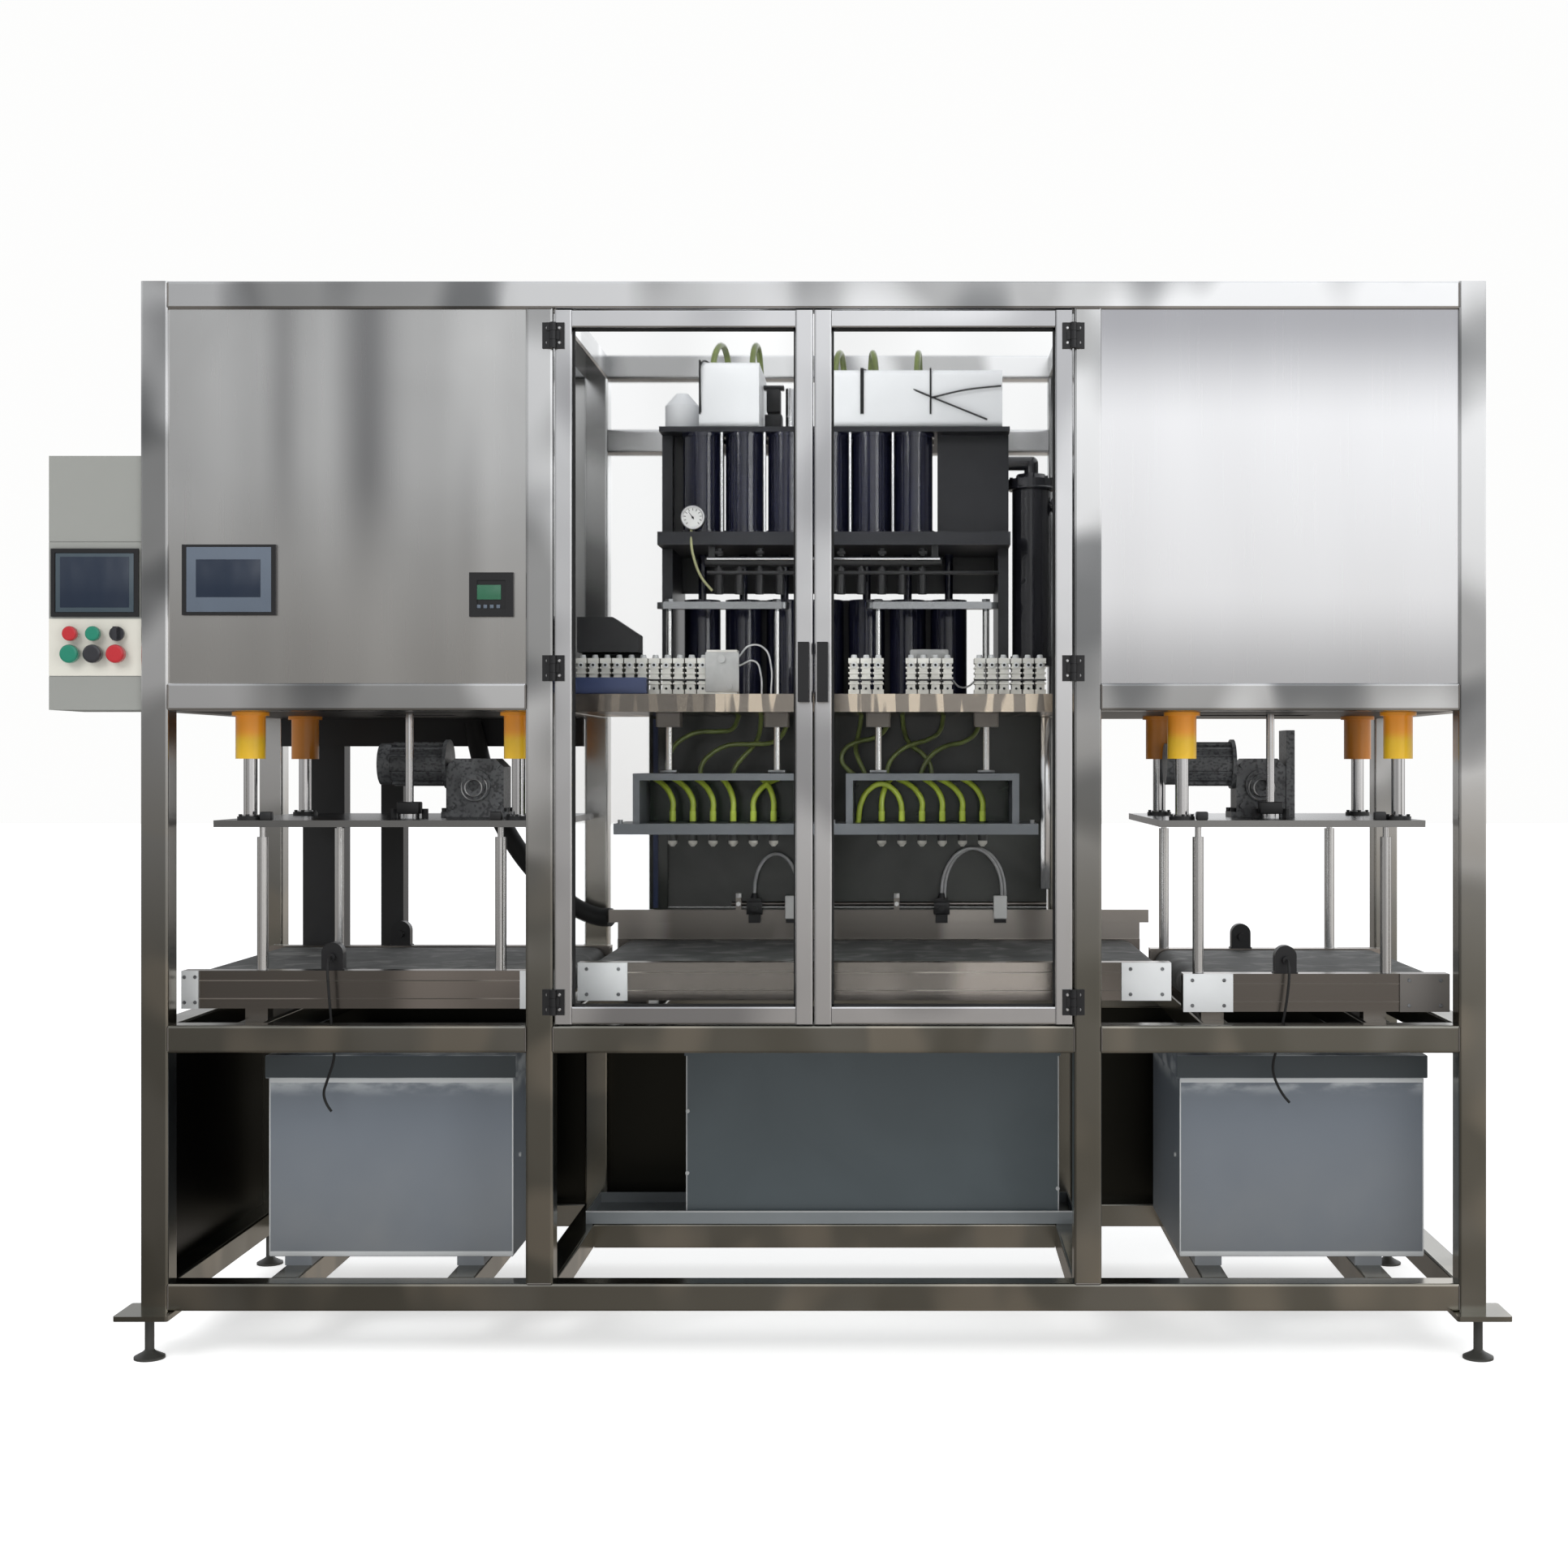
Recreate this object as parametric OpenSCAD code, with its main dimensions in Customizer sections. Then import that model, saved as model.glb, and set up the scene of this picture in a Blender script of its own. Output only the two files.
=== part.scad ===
// Battery acid filling machine: a stainless tube frame with three bays. Batteries ride on belts
// through a press station, an enclosed filling station behind two doors and a second press station.
// Lengths are millimetres. X runs along the conveyors, the front faces -Y and Z is up.

/* [Frame] */
// Length of the frame over its outer columns
frame_w = 2920; // [2900:5:3000]
// Depth of the frame from front face to rear face
frame_d = 900; // [890:5:960]
// Height from the floor to the top of the frame
frame_h = 2340; // [2330:5:2400]
// Side of the square frame tube
tube = 60; // [58:1:62]
// Wall of the frame tube
tube_wall = 3; // [2:0.5:4]
// Clear width of the middle bay between its columns
bay_w = 1130; // [1120:5:1150]
// Height of the frame's underside over the floor
foot_h = 105; // [95:1:115]
// Height of the underside of the middle beams
mid_z = 665; // [655:1:670]
// Height of the underside of the upper beams
side_z = 1408; // [1406:1:1410]
// Side of the square plate under each corner column
foot_plate = 118; // [100:1:130]
// Distance that a foot plate stands out past the columns
foot_out = 44; // [35:1:50]

/* [Sheets and doors] */
// Thickness of the stainless sheets
sheet_t = 2; // [1.5:0.5:3]
// Distance of the front sheets behind the front face
sheet_inset = 8; // [4:1:12]
// Side of the square door tube
door_tube = 38; // [34:1:42]
// Gap round each door
door_gap = 3; // [2.5:0.5:4]
// Thickness of the clear door panes
pane_t = 6; // [4:1:8]
// Height of a door hinge
hinge_h = 56; // [50:1:60]
// Width of one hinge leaf
leaf_w = 24; // [20:1:28]
// Height of the door handles
handle_h = 129; // [110:1:140]

/* [Control cabinet] */
// Distance that the cabinet stands out past the frame's left side
cabinet_out = 202; // [195:1:215]
// Depth of the cabinet from front to back
cabinet_d = 200; // [180:5:230]
// Height of the cabinet's underside
cabinet_z = 1410; // [1400:1:1420]
// Height of the cabinet
cabinet_h = 552; // [545:1:570]
// Wall of the cabinet
cabinet_wall = 3; // [2:0.5:4]
// Travel of the push buttons
button_travel = 4; // [3:0.5:5]

/* [Press stations] */
// Height of the underside of the press plates
press_z = 1152; // [1150:1:1156]
// Thickness of the press plates
press_t = 15; // [12:1:18]
// Travel of the press plates
press_travel = 100; // [60:5:100]
// Diameter of the press guide rods
rod_d = 30; // [26:1:32]
// Diameter of the guide sleeves
sleeve_d = 65; // [60:1:68]
// Length of the guide sleeves below the top plates
sleeve_h = 104; // [90:1:110]
// Diameter of the stop posts
post_d = 25; // [20:1:28]

/* [Conveyors] */
// Height of the top of the left conveyor's side beams
left_belt_z = 834; // [830:1:838]
// Height of the top of the middle conveyor's side beams
mid_belt_z = 852; // [848:1:856]
// Height of the top of the right conveyor's side beams
right_belt_z = 827; // [823:1:831]
// Height of the conveyor side beams
belt_beam_h = 84; // [82:1:88]
// Thickness of the conveyor side beams
belt_beam_t = 40; // [36:1:44]
// Distance of the front side beam behind the front face
belt_front = 105; // [102:1:110]
// Distance of the rear side beam behind the front face
belt_rear = 740; // [730:5:745]
// Thickness of the belts
belt_t = 4; // [3:0.5:5]
// Diameter of the belt rollers
roller_d = 62; // [56:1:64]

/* [Filling station] */
// Height of the top of the work table
table_z = 1452; // [1450:1:1456]
// Thickness of the work table
table_t = 41; // [38:1:43]
// Number of nozzles on a filling head
nozzles = 6; // [4:1:6]
// Distance between neighbouring nozzles
nozzle_pitch = 48; // [44:1:50]
// Diameter of the filling head rods
head_rod_d = 16; // [14:1:18]
// Diameter of a dosing cylinder
doser_d = 98; // [90:1:99]
// Distance between neighbouring dosing cylinders
doser_pitch = 101; // [100:1:104]

/* [Tanks] */
// Height of the side tanks without their lids
tank_h = 402; // [380:1:410]
// Height of the side tanks' lids
lid_h = 51; // [45:1:55]
// Wall of the tanks
tank_wall = 8; // [6:1:10]

/* [Hidden] */
$fn = 32;

// Overrun of every cut past the face that it opens
over = 1;
// Running gap of pieces that slide or turn in each other
run_gap = 0.1;
// Gap of pieces that rest beside each other on different bodies
rest_gap = 0.3;

// Frame places, measured from the middle of the frame in X and from its front face in Y
half_w = frame_w / 2;
inner_x = bay_w / 2 + tube / 2;
outer_x = half_w - tube / 2;
column_xs = [-outer_x, -inner_x, inner_x, outer_x];
row_ys = [tube / 2, frame_d - tube / 2];
top_z = frame_h - tube;
side_top = side_z + tube;
mid_top = mid_z + tube;
base_top = foot_h + tube;
shift_x = (cabinet_out - foot_out) / 2;
tube_round = 6;
tank_beam_back = 300;
header_beam_drop = 190;
tank_beam_y = frame_d - tank_beam_back;
header_beam_z = top_z - header_beam_drop;
tank_bars = [-1166, -779, 880, 1240];
belt_bars = [-1240, -400, 880, 1240];

module seated() { translate([shift_x, -frame_d / 2, 0]) children(); }
module block(xs, ys, zs) {
    translate([xs[0], ys[0], zs[0]]) cube([xs[1] - xs[0], ys[1] - ys[0], zs[1] - zs[0]]);
}
module rod_z(x, y, zs, d) { translate([x, y, zs[0]]) cylinder(h = zs[1] - zs[0], d = d); }
module rod_y(x, ys, z, d) { translate([x, ys[0], z]) rotate([-90, 0, 0]) cylinder(h = ys[1] - ys[0], d = d); }
module rod_x(xs, y, z, d) { translate([xs[0], y, z]) rotate([0, 90, 0]) cylinder(h = xs[1] - xs[0], d = d); }

// Square section with round corners, built from two bars and four discs
module round_square(w, r) {
    square([w, w - 2 * r], center = true);
    square([w - 2 * r, w], center = true);
    for (x = [-1, 1], y = [-1, 1]) translate([x * (w / 2 - r), y * (w / 2 - r)]) circle(r = r);
}
module tube_section(w, r, wall) {
    difference() {
        round_square(w, r);
        round_square(w - 2 * wall, r - wall * 0.9);
    }
}
module tube_up(x, y, zs) {
    translate([x, y, zs[0]]) linear_extrude(zs[1] - zs[0]) tube_section(tube, tube_round, tube_wall);
}
module tube_along(xs, y, z) {
    translate([xs[0], y, z + tube / 2]) rotate([90, 0, 90])
        linear_extrude(xs[1] - xs[0]) tube_section(tube, tube_round, tube_wall);
}
module tube_across(x, ys, z) {
    translate([x, ys[1], z + tube / 2]) rotate([90, 0, 0])
        linear_extrude(ys[1] - ys[0]) tube_section(tube, tube_round, tube_wall);
}

// Columns with the plates that are welded under the outer ones
plate_t = 11;
foot_stem_d = 20;
foot_x = half_w + foot_out - foot_plate / 2;
foot_y = foot_plate / 2 - foot_out;
foot_places = [for (s = [-1, 1], y = [foot_y, frame_d - foot_y]) [s * foot_x, y]];
module columns() {
    color("silver") seated() {
        for (x = [-outer_x, outer_x], y = row_ys) tube_up(x, y, [foot_h, frame_h]);
        for (x = [-inner_x, inner_x], y = row_ys) tube_up(x, y, [base_top, top_z]);
        for (p = foot_places) difference() {
            translate([p[0], p[1], foot_h - plate_t]) linear_extrude(plate_t) round_square(foot_plate, tube_round);
            rod_z(p[0], p[1], [foot_h - plate_t - over, foot_h + over], foot_stem_d + 2 * run_gap);
        }
    }
}

module long_beams() {
    inner = bay_w / 2;
    side = inner_x + tube / 2;
    end = half_w - tube;
    color("silver") seated() {
        for (y = row_ys) {
            for (z = [foot_h, top_z]) tube_along([-end, end], y, z);
            tube_along([-inner, inner], y, mid_z);
            for (z = [mid_z, side_z]) {
                tube_along([-end, -side], y, z);
                tube_along([side, end], y, z);
            }
        }
        tube_along([-inner, inner], tank_beam_y + tube / 2, foot_h);
        tube_along([-inner, inner], row_ys[1], header_beam_z);
    }
}

module cross_beams() {
    span = [tube, frame_d - tube];
    color("silver") seated() {
        for (x = column_xs, z = [foot_h, mid_z, side_z, top_z]) tube_across(x, span, z);
        for (x = tank_bars) tube_across(x, span, foot_h);
        for (x = belt_bars) tube_across(x, span, mid_z);
    }
}

// Levelling feet: round pad, ball neck, threaded stem and a nut on each side of the plate
pad_d = 66;
pad_h = 14;
pad_rim = 5;
nut_w = 30;
nut_h = 12;
cone_share = 0.8;
module leveling_feet() {
    color("dimgray") seated() for (p = foot_places) translate([p[0], p[1], 0]) {
        rotate_extrude() polygon([
            [0, 0], [pad_d / 2, 0], [pad_d / 2, pad_rim], [foot_stem_d * cone_share, pad_h],
            [foot_stem_d / 2, pad_h + pad_rim], [foot_stem_d / 2, foot_h - plate_t - nut_h],
            [0, foot_h - plate_t - nut_h]
        ]);
        translate([0, 0, foot_h - plate_t - nut_h]) cylinder(h = nut_h, d = nut_w, $fn = 6);
        translate([0, 0, foot_h - plate_t]) cylinder(h = plate_t - tube_wall, d = foot_stem_d);
    }
}

// Operator screen and controller on the left front sheet
hmi_x = -1268;
hmi_z = 1692;
hmi_w = 204;
hmi_h = 153;
ctl_x = -699;
ctl_z = 1660;
ctl_w = 96;
bezel_t = 8;
screen_lip = 9;
screen_body_d = 42;
sheet_y = sheet_inset + sheet_t;
module screen_body(x, z, w, h, grow) {
    block([x - w / 2 + screen_lip - grow, x + w / 2 - screen_lip + grow],
          [sheet_inset - (grow > 0 ? over : 0), sheet_y + (grow > 0 ? over : screen_body_d)],
          [z - h / 2 + screen_lip - grow, z + h / 2 - screen_lip + grow]);
}
module front_sheet(side) {
    xs = side < 0 ? [-half_w + tube, -inner_x - tube / 2] : [inner_x + tube / 2, half_w - tube];
    block(xs, [sheet_inset, sheet_y], [side_top, top_z]);
}
module front_panels() {
    color("gainsboro") seated() {
        difference() {
            front_sheet(-1);
            screen_body(hmi_x, hmi_z, hmi_w, hmi_h, rest_gap);
            screen_body(ctl_x, ctl_z, ctl_w, ctl_w, rest_gap);
        }
        front_sheet(1);
    }
}
// Rear and end sheets of the upper side bays, and dark sheets behind all lower bays and at the left end
module rear_panels() {
    rear = [frame_d - sheet_y, frame_d - sheet_inset];
    color("gainsboro") seated() {
        for (s = [0, 1], zs = [[side_top, top_z], [base_top, mid_z]]) block(bay_span(s), rear, zs);
        block([-bay_w / 2, bay_w / 2], rear, [base_top, mid_z]);
        for (e = [[-1, side_top, top_z], [1, side_top, top_z], [-1, base_top, mid_z]]) {
            x = e[0] * (half_w - sheet_inset - sheet_t / 2);
            block([x - sheet_t / 2, x + sheet_t / 2], [tube, frame_d - tube], [e[1], e[2]]);
        }
    }
}
module bezel(x, z, w, h) {
    window_in = 17;
    window_deep = 3;
    difference() {
        block([x - w / 2, x + w / 2], [sheet_inset - bezel_t, sheet_inset], [z - h / 2, z + h / 2]);
        block([x - w / 2 + window_in, x + w / 2 - window_in],
              [sheet_inset - bezel_t - over, sheet_inset - bezel_t + window_deep],
              [z - h / 2 + window_in, z + h / 2 - window_in]);
    }
    screen_body(x, z, w, h, 0);
}
module operator_screens() {
    color("dimgray") seated() {
        bezel(hmi_x, hmi_z, hmi_w, hmi_h);
        bezel(ctl_x, ctl_z, ctl_w, ctl_w);
        cabinet_screen();
    }
}

// Doors: a tube frame with a clear pane, a bow handle and the moving hinge leaves
door_w = bay_w / 2 - door_gap * 1.5;
door_z = mid_top + door_gap;
door_top = top_z - door_gap;
door_round = 4;
hinge_up = 48;
hinge_down = 56;
hinge_zs = [door_z + hinge_up, table_z + hinge_up, door_top - hinge_down];
hinge_pin_d = 6;
barrel_d = 14;
leaf_t = 5;
hinge_axis_x = bay_w / 2 - door_gap / 2;
hinge_axis_y = -barrel_d / 2 - 1;
module door_bar(len) {
    linear_extrude(len) tube_section(door_tube, door_round, tube_wall - 1);
}
// The left door stands from its hinge edge at x = 0 to the middle of the bay at x = door_w
module door_frame() {
    for (x = [door_tube / 2, door_w - door_tube / 2])
        translate([x, door_tube / 2, door_z]) door_bar(door_top - door_z);
    for (z = [door_z + door_tube / 2, door_top - door_tube / 2])
        translate([door_tube, door_tube / 2, z]) rotate([90, 0, 90]) door_bar(door_w - 2 * door_tube);
}
module door_pane() {
    block([door_tube, door_w - door_tube], [(door_tube - pane_t) / 2, (door_tube + pane_t) / 2],
          [door_z + door_tube, door_top - door_tube]);
}
module hinge_leaf(z, knuckles) {
    third = hinge_h / 3;
    for (i = knuckles) difference() {
        union() {
            rod_z(0, hinge_axis_y, [z - hinge_h / 2 + i * third + rest_gap, z - hinge_h / 2 + (i + 1) * third - rest_gap],
                  barrel_d);
            block([0, barrel_d], [hinge_axis_y, -leaf_t / 2],
                  [z - hinge_h / 2 + i * third + rest_gap, z - hinge_h / 2 + (i + 1) * third - rest_gap]);
            block([door_gap / 2, leaf_w], [-leaf_t, 0], [z - hinge_h / 2, z + hinge_h / 2]);
        }
        rod_z(0, hinge_axis_y, [z - hinge_h, z + hinge_h], hinge_pin_d + 2 * run_gap);
        for (j = [0 : 2]) if (len(search(j, knuckles)) == 0)
            rod_z(0, hinge_axis_y, [z - hinge_h / 2 + j * third - rest_gap, z - hinge_h / 2 + (j + 1) * third + rest_gap],
                  barrel_d + 2 * rest_gap);
    }
}
handle_w = 24;
handle_out = 36;
handle_t = 12;
handle_z = 1491;
module door_handle() {
    x = door_w - door_tube / 2;
    block([x - handle_w / 2, x + handle_w / 2], [-handle_out, -handle_out + handle_t],
          [handle_z - handle_h / 2, handle_z + handle_h / 2]);
    for (z = [handle_z - handle_h / 2, handle_z + handle_h / 2 - handle_w])
        block([x - handle_w / 2, x + handle_w / 2], [-handle_out + handle_t, 0], [z, z + handle_w]);
}
module door_fittings() {
    for (z = hinge_zs) translate([-door_gap / 2, 0, 0]) hinge_leaf(z, [1]);
    door_handle();
}
module left_side() { seated() translate([-bay_w / 2 + door_gap, 0, 0]) children(); }
module right_side() { seated() translate([bay_w / 2 - door_gap, 0, 0]) mirror([1, 0, 0]) children(); }
module left_door_frame() { color("silver") left_side() door_frame(); }
module right_door_frame() { color("silver") right_side() door_frame(); }
module left_door_pane() { color("lightcyan", 0.4) left_side() door_pane(); }
module right_door_pane() { color("lightcyan", 0.4) right_side() door_pane(); }
module left_door_fittings() { color("dimgray") left_side() door_fittings(); }
module right_door_fittings() { color("dimgray") right_side() door_fittings(); }
module fixed_leaf_set() {
    for (z = hinge_zs) translate([-door_gap / 2, 0, 0]) {
        mirror([1, 0, 0]) hinge_leaf(z, [0, 2]);
        rod_z(0, hinge_axis_y, [z - hinge_h / 2, z + hinge_h / 2], hinge_pin_d);
    }
}
module fixed_hinge_leaves() {
    color("dimgray") {
        left_side() fixed_leaf_set();
        right_side() fixed_leaf_set();
    }
}

// Control cabinet: a folded sheet box beside the frame with a raised button plate and button collars
cabinet_y = 10;
cabinet_x = -half_w - cabinet_out / 2;
cabinet_top = cabinet_z + cabinet_h;
seam_w = 2;
seam_ups = [72, 364];
seam_zs = [for (u = seam_ups) cabinet_z + u];
cab_screen_w = 190;
cab_screen_h = 148;
cab_screen_up = 276;
cab_screen_z = cabinet_z + cab_screen_up;
cab_bezel_t = 6;
collar_t = 5;
collar_d = 30;
stem_d = 14;
stem_in = 9;
small_cap_d = 32;
big_cap_d = 40;
small_cap_h = 12;
big_cap_h = 16;
button_pitch = 50;
button_ups = [165, 121];
button_zs = [for (u = button_ups) cabinet_z + u];
button_lift = collar_t + button_travel + rest_gap;
// Puts children at a button's place with +Z out of the cabinet's front
module at_button(column, row) {
    seated() translate([cabinet_x + column * button_pitch, cabinet_y, button_zs[row]]) rotate([90, 0, 0]) children();
}
module control_cabinet() {
    color("ivory") {
        difference() {
            seated() difference() {
                block([cabinet_x - cabinet_out / 2, -half_w], [cabinet_y, cabinet_y + cabinet_d], [cabinet_z, cabinet_top]);
                block([cabinet_x - cabinet_out / 2 + cabinet_wall, -half_w - cabinet_wall],
                      [cabinet_y + cabinet_wall, cabinet_y + cabinet_d - cabinet_wall],
                      [cabinet_z + cabinet_wall, cabinet_top - cabinet_wall]);
                for (z = seam_zs)
                    block([cabinet_x - cabinet_out, cabinet_x + cabinet_out],
                          [cabinet_y - over, cabinet_y + cabinet_wall / 2], [z, z + seam_w]);
            }
            for (c = [-1 : 1], r = [0, 1]) at_button(c, r)
                translate([0, 0, -cabinet_wall - over]) cylinder(h = cabinet_wall + 2 * over, d = stem_d + 2 * rest_gap);
        }
        for (c = [-1 : 1], r = [0, 1]) at_button(c, r) difference() {
            cylinder(h = collar_t, d1 = collar_d, d2 = collar_d - collar_t / 2);
            translate([0, 0, -over]) cylinder(h = collar_t + 2 * over, d = stem_d + 2 * rest_gap);
        }
    }
}
module cabinet_screen() {
    window_in = 9;
    y = cabinet_y - cab_bezel_t;
    difference() {
        block([cabinet_x - cab_screen_w / 2, cabinet_x + cab_screen_w / 2], [y, cabinet_y],
              [cab_screen_z - cab_screen_h / 2, cab_screen_z + cab_screen_h / 2]);
        block([cabinet_x - cab_screen_w / 2 + window_in, cabinet_x + cab_screen_w / 2 - window_in],
              [y - over, y + cab_bezel_t / 2],
              [cab_screen_z - cab_screen_h / 2 + window_in, cab_screen_z + cab_screen_h / 2 - window_in]);
    }
}
// Cap with a rounded rim on a stem that runs through its collar
module push_button(cap_d, cap_h) {
    rim = cap_h / 3;
    rotate_extrude() polygon(concat(
        [[0, -cabinet_wall - stem_in], [stem_d / 2, -cabinet_wall - stem_in], [stem_d / 2, button_lift],
         [cap_d / 2, button_lift]],
        [for (a = [0 : 15 : 90]) [cap_d / 2 - rim + rim * cos(a), button_lift + cap_h - rim + rim * sin(a)]],
        [[0, button_lift + cap_h]]
    ));
}
module red_lamp_button() { color("red") at_button(-1, 0) push_button(small_cap_d, small_cap_h); }
module green_lamp_button() { color("green") at_button(0, 0) push_button(small_cap_d, small_cap_h); }
module green_start_button() { color("green") at_button(-1, 1) push_button(big_cap_d, big_cap_h); }
module black_reset_button() { color("dimgray") at_button(0, 1) push_button(big_cap_d, big_cap_h); }
module red_stop_button() { color("red") at_button(1, 1) push_button(big_cap_d, big_cap_h); }
module selector_knob() {
    grip_w = 9;
    grip_h = 12;
    disc_h = 6;
    lift = collar_t + rest_gap;
    color("dimgray") at_button(1, 0) {
        translate([0, 0, -cabinet_wall - stem_in]) cylinder(h = cabinet_wall + stem_in + lift, d = stem_d);
        translate([0, 0, lift]) cylinder(h = disc_h, d = small_cap_d);
        translate([-grip_w / 2, -small_cap_d / 2 + over, lift + disc_h]) cube([grip_w, small_cap_d - 2 * over, grip_h]);
    }
}

// Press stations: a plate on four guide rods is lifted by a middle cylinder and rests on its posts
press_xs = [-967, 1060];
plate_halfs = [372, 295];
rod_halfs = [300, 242];
post_halfs = [265, 209];
press_ys = [115, 785];
rod_ys = [150, 580];
post_ys = [belt_front + belt_beam_t / 2, belt_rear + belt_beam_t / 2];
belt_zs = [left_belt_z, right_belt_z];
piston_x = [10, -11];
piston_y = 345;
piston_rod_d = 19;
piston_d = 50;
piston_h = 18;
cylinder_wall = 5;
cylinder_ends = 90;
cylinder_h = press_travel + cylinder_ends;
press_top = press_z + press_t;
top_plate_t = 15;
neck_d = 14;
neck_h = 22;
motor_y = 460;
motor_d = 105;
motor_rise = 125;
slot_half_d = 62;
motor_slots = [[-100, 95], [-258, 100]];
// Skirt under the left top plate's rear edge, and two channel posts at the rear of the left bay
skirt_h = 71;
skirt_t = 5;
back_posts = [[-1348, 107], [-1147, 57]];
back_inset = 2;
function bay_span(s) = s < 1 ? [-half_w + tube, -inner_x - tube / 2] : [inner_x + tube / 2, half_w - tube];
module each_rod(s) { for (x = [-1, 1], y = rod_ys) translate([press_xs[s] + x * rod_halfs[s], y, 0]) children(); }
module press_top_plates() {
    color("dimgray") seated() for (s = [0, 1]) difference() {
        block(bay_span(s), [tube, frame_d - tube], [side_z, side_z + top_plate_t]);
        each_rod(s) rod_z(0, 0, [side_z - over, side_z + top_plate_t + over], rod_d + 2 * over);
        rod_z(press_xs[s] + piston_x[s], piston_y, [side_z - over, side_z + top_plate_t + over],
              piston_rod_d + 2 * over);
        block([press_xs[s] + motor_slots[s][0], press_xs[s] + motor_slots[s][1]],
              [motor_y - slot_half_d, motor_y + slot_half_d], [side_z - over, side_z + top_plate_t + over]);
    }
    color("dimgray") seated() {
        block(bay_span(0), [frame_d - tube - skirt_t, frame_d - tube], [side_z - skirt_h, side_z]);
        for (p = back_posts) difference() {
            block([p[0], p[0] + p[1]], [frame_d - tube + back_inset, frame_d - back_inset], [mid_top, side_z]);
            block([p[0] + skirt_t, p[0] + p[1] - skirt_t], [frame_d - tube + back_inset + skirt_t, frame_d],
                  [mid_top - over, side_z + over]);
        }
    }
}
module guide_sleeves() {
    flange_t = 8;
    flange_out = 8;
    flange_d = sleeve_d + 2 * flange_out;
    color("orange") seated() for (s = [0, 1]) each_rod(s) difference() {
        union() {
            rod_z(0, 0, [side_z - sleeve_h, side_z], sleeve_d);
            rod_z(0, 0, [side_z - flange_t, side_z], flange_d);
        }
        rod_z(0, 0, [side_z - sleeve_h - over, side_z + over], rod_d + 2 * run_gap);
    }
}
module press_cylinders() {
    z = side_z + top_plate_t;
    flange_out = 8;
    flange_d = piston_d + 4 * cylinder_wall + 2 * flange_out;
    color("silver") seated() for (s = [0, 1]) translate([press_xs[s] + piston_x[s], piston_y, 0]) difference() {
        union() {
            rod_z(0, 0, [z, z + cylinder_h], piston_d + 2 * cylinder_wall);
            for (e = [z, z + cylinder_h - top_plate_t]) rod_z(0, 0, [e, e + top_plate_t], flange_d);
        }
        rod_z(0, 0, [z + top_plate_t, z + cylinder_h - top_plate_t], piston_d + 2 * run_gap);
        rod_z(0, 0, [z - over, z + top_plate_t + over], piston_rod_d + 2 * run_gap);
    }
}
module press_plate(s) {
    span = [press_xs[s] - plate_halfs[s], press_xs[s] + plate_halfs[s]];
    seated() {
        block(span, press_ys, [press_z, press_top]);
        for (x = [-1, 1], y = post_ys) translate([press_xs[s] + x * post_halfs[s], y, 0]) {
            rod_z(0, 0, [belt_zs[s] + rest_gap, press_z - neck_h], post_d);
            rod_z(0, 0, [press_z - neck_h, press_z], neck_d);
        }
    }
}
module press_rods(s) {
    nut_flange_d = 46;
    nut_flange_h = 9;
    rod_end = side_z + top_plate_t + rod_d;
    seated() {
        each_rod(s) rod_z(0, 0, [press_top, rod_end], rod_d);
        translate([press_xs[s] + piston_x[s], piston_y, 0]) {
            piston_z = side_z + 2 * top_plate_t + run_gap + rest_gap;
            rod_z(0, 0, [press_top, piston_z], piston_rod_d);
            rod_z(0, 0, [press_top, press_top + nut_flange_h], nut_flange_d);
            rod_z(0, 0, [piston_z, piston_z + piston_h], piston_d);
        }
    }
}
// Gear motor lying along X on the plate: finned motor with end cap, flange disc and chamfered worm
// gearbox on a foot, whose stepped output hub faces the front
module gear_motor(motor_span, box_span, box_h) {
    base_h = 12;
    box_half_d = 46;
    chamfer = 20;
    fin_t = 4;
    fin_deep = 6;
    fin_angle = 22.5;
    cap_len = 30;
    disc_t = 9;
    disc_out = 6;
    hub_ds = [76, 54, 26];
    hub_out = 9;
    boss_d = 15;
    axis_z = press_top + motor_rise;
    mid_x = (box_span[0] + box_span[1]) / 2;
    half = (box_span[1] - box_span[0]) / 2;
    half_h = (box_h - base_h) / 2;
    mid_z = press_top + base_h + half_h;
    front = motor_y - box_half_d;
    seated() {
        block([box_span[0] - base_h, box_span[1] + base_h], [front, motor_y + box_half_d],
              [press_top, press_top + base_h]);
        translate([mid_x, motor_y + box_half_d, mid_z]) rotate([90, 0, 0]) linear_extrude(2 * box_half_d) polygon([
            [-half, -half_h], [half, -half_h], [half, half_h - chamfer], [half - chamfer, half_h],
            [-half + chamfer, half_h], [-half, half_h - chamfer]
        ]);
        difference() {
            union() {
                rod_y(mid_x, [front - hub_out, front], mid_z, hub_ds[0]);
                rod_y(mid_x, [front - 2 * hub_out, front - hub_out], mid_z, hub_ds[1]);
            }
            rod_y(mid_x, [front - 2 * hub_out - over, front - hub_out / 2], mid_z, hub_ds[2]);
        }
        for (x = [-1, 1], z = [-1, 1])
            rod_y(mid_x + x * (half - boss_d), [front - hub_out, front], mid_z + z * (half_h - boss_d), boss_d);
        rod_x(motor_span, motor_y, axis_z, motor_d - 2 * fin_deep);
        rod_x([motor_span[0], motor_span[0] + cap_len], motor_y, axis_z, motor_d - fin_deep);
        rod_x([motor_span[1] - disc_t, motor_span[1]], motor_y, axis_z, motor_d + 2 * disc_out);
        for (a = [0 : fin_angle : 180 - fin_angle])
            translate([motor_span[0] + cap_len, motor_y, axis_z]) rotate([a, 0, 0])
                translate([0, -fin_t / 2, -motor_d / 2])
                    cube([motor_span[1] - motor_span[0] - cap_len - disc_t / 2, fin_t, motor_d]);
    }
}
module left_press_plate() { color("silver") press_plate(0); }
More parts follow.
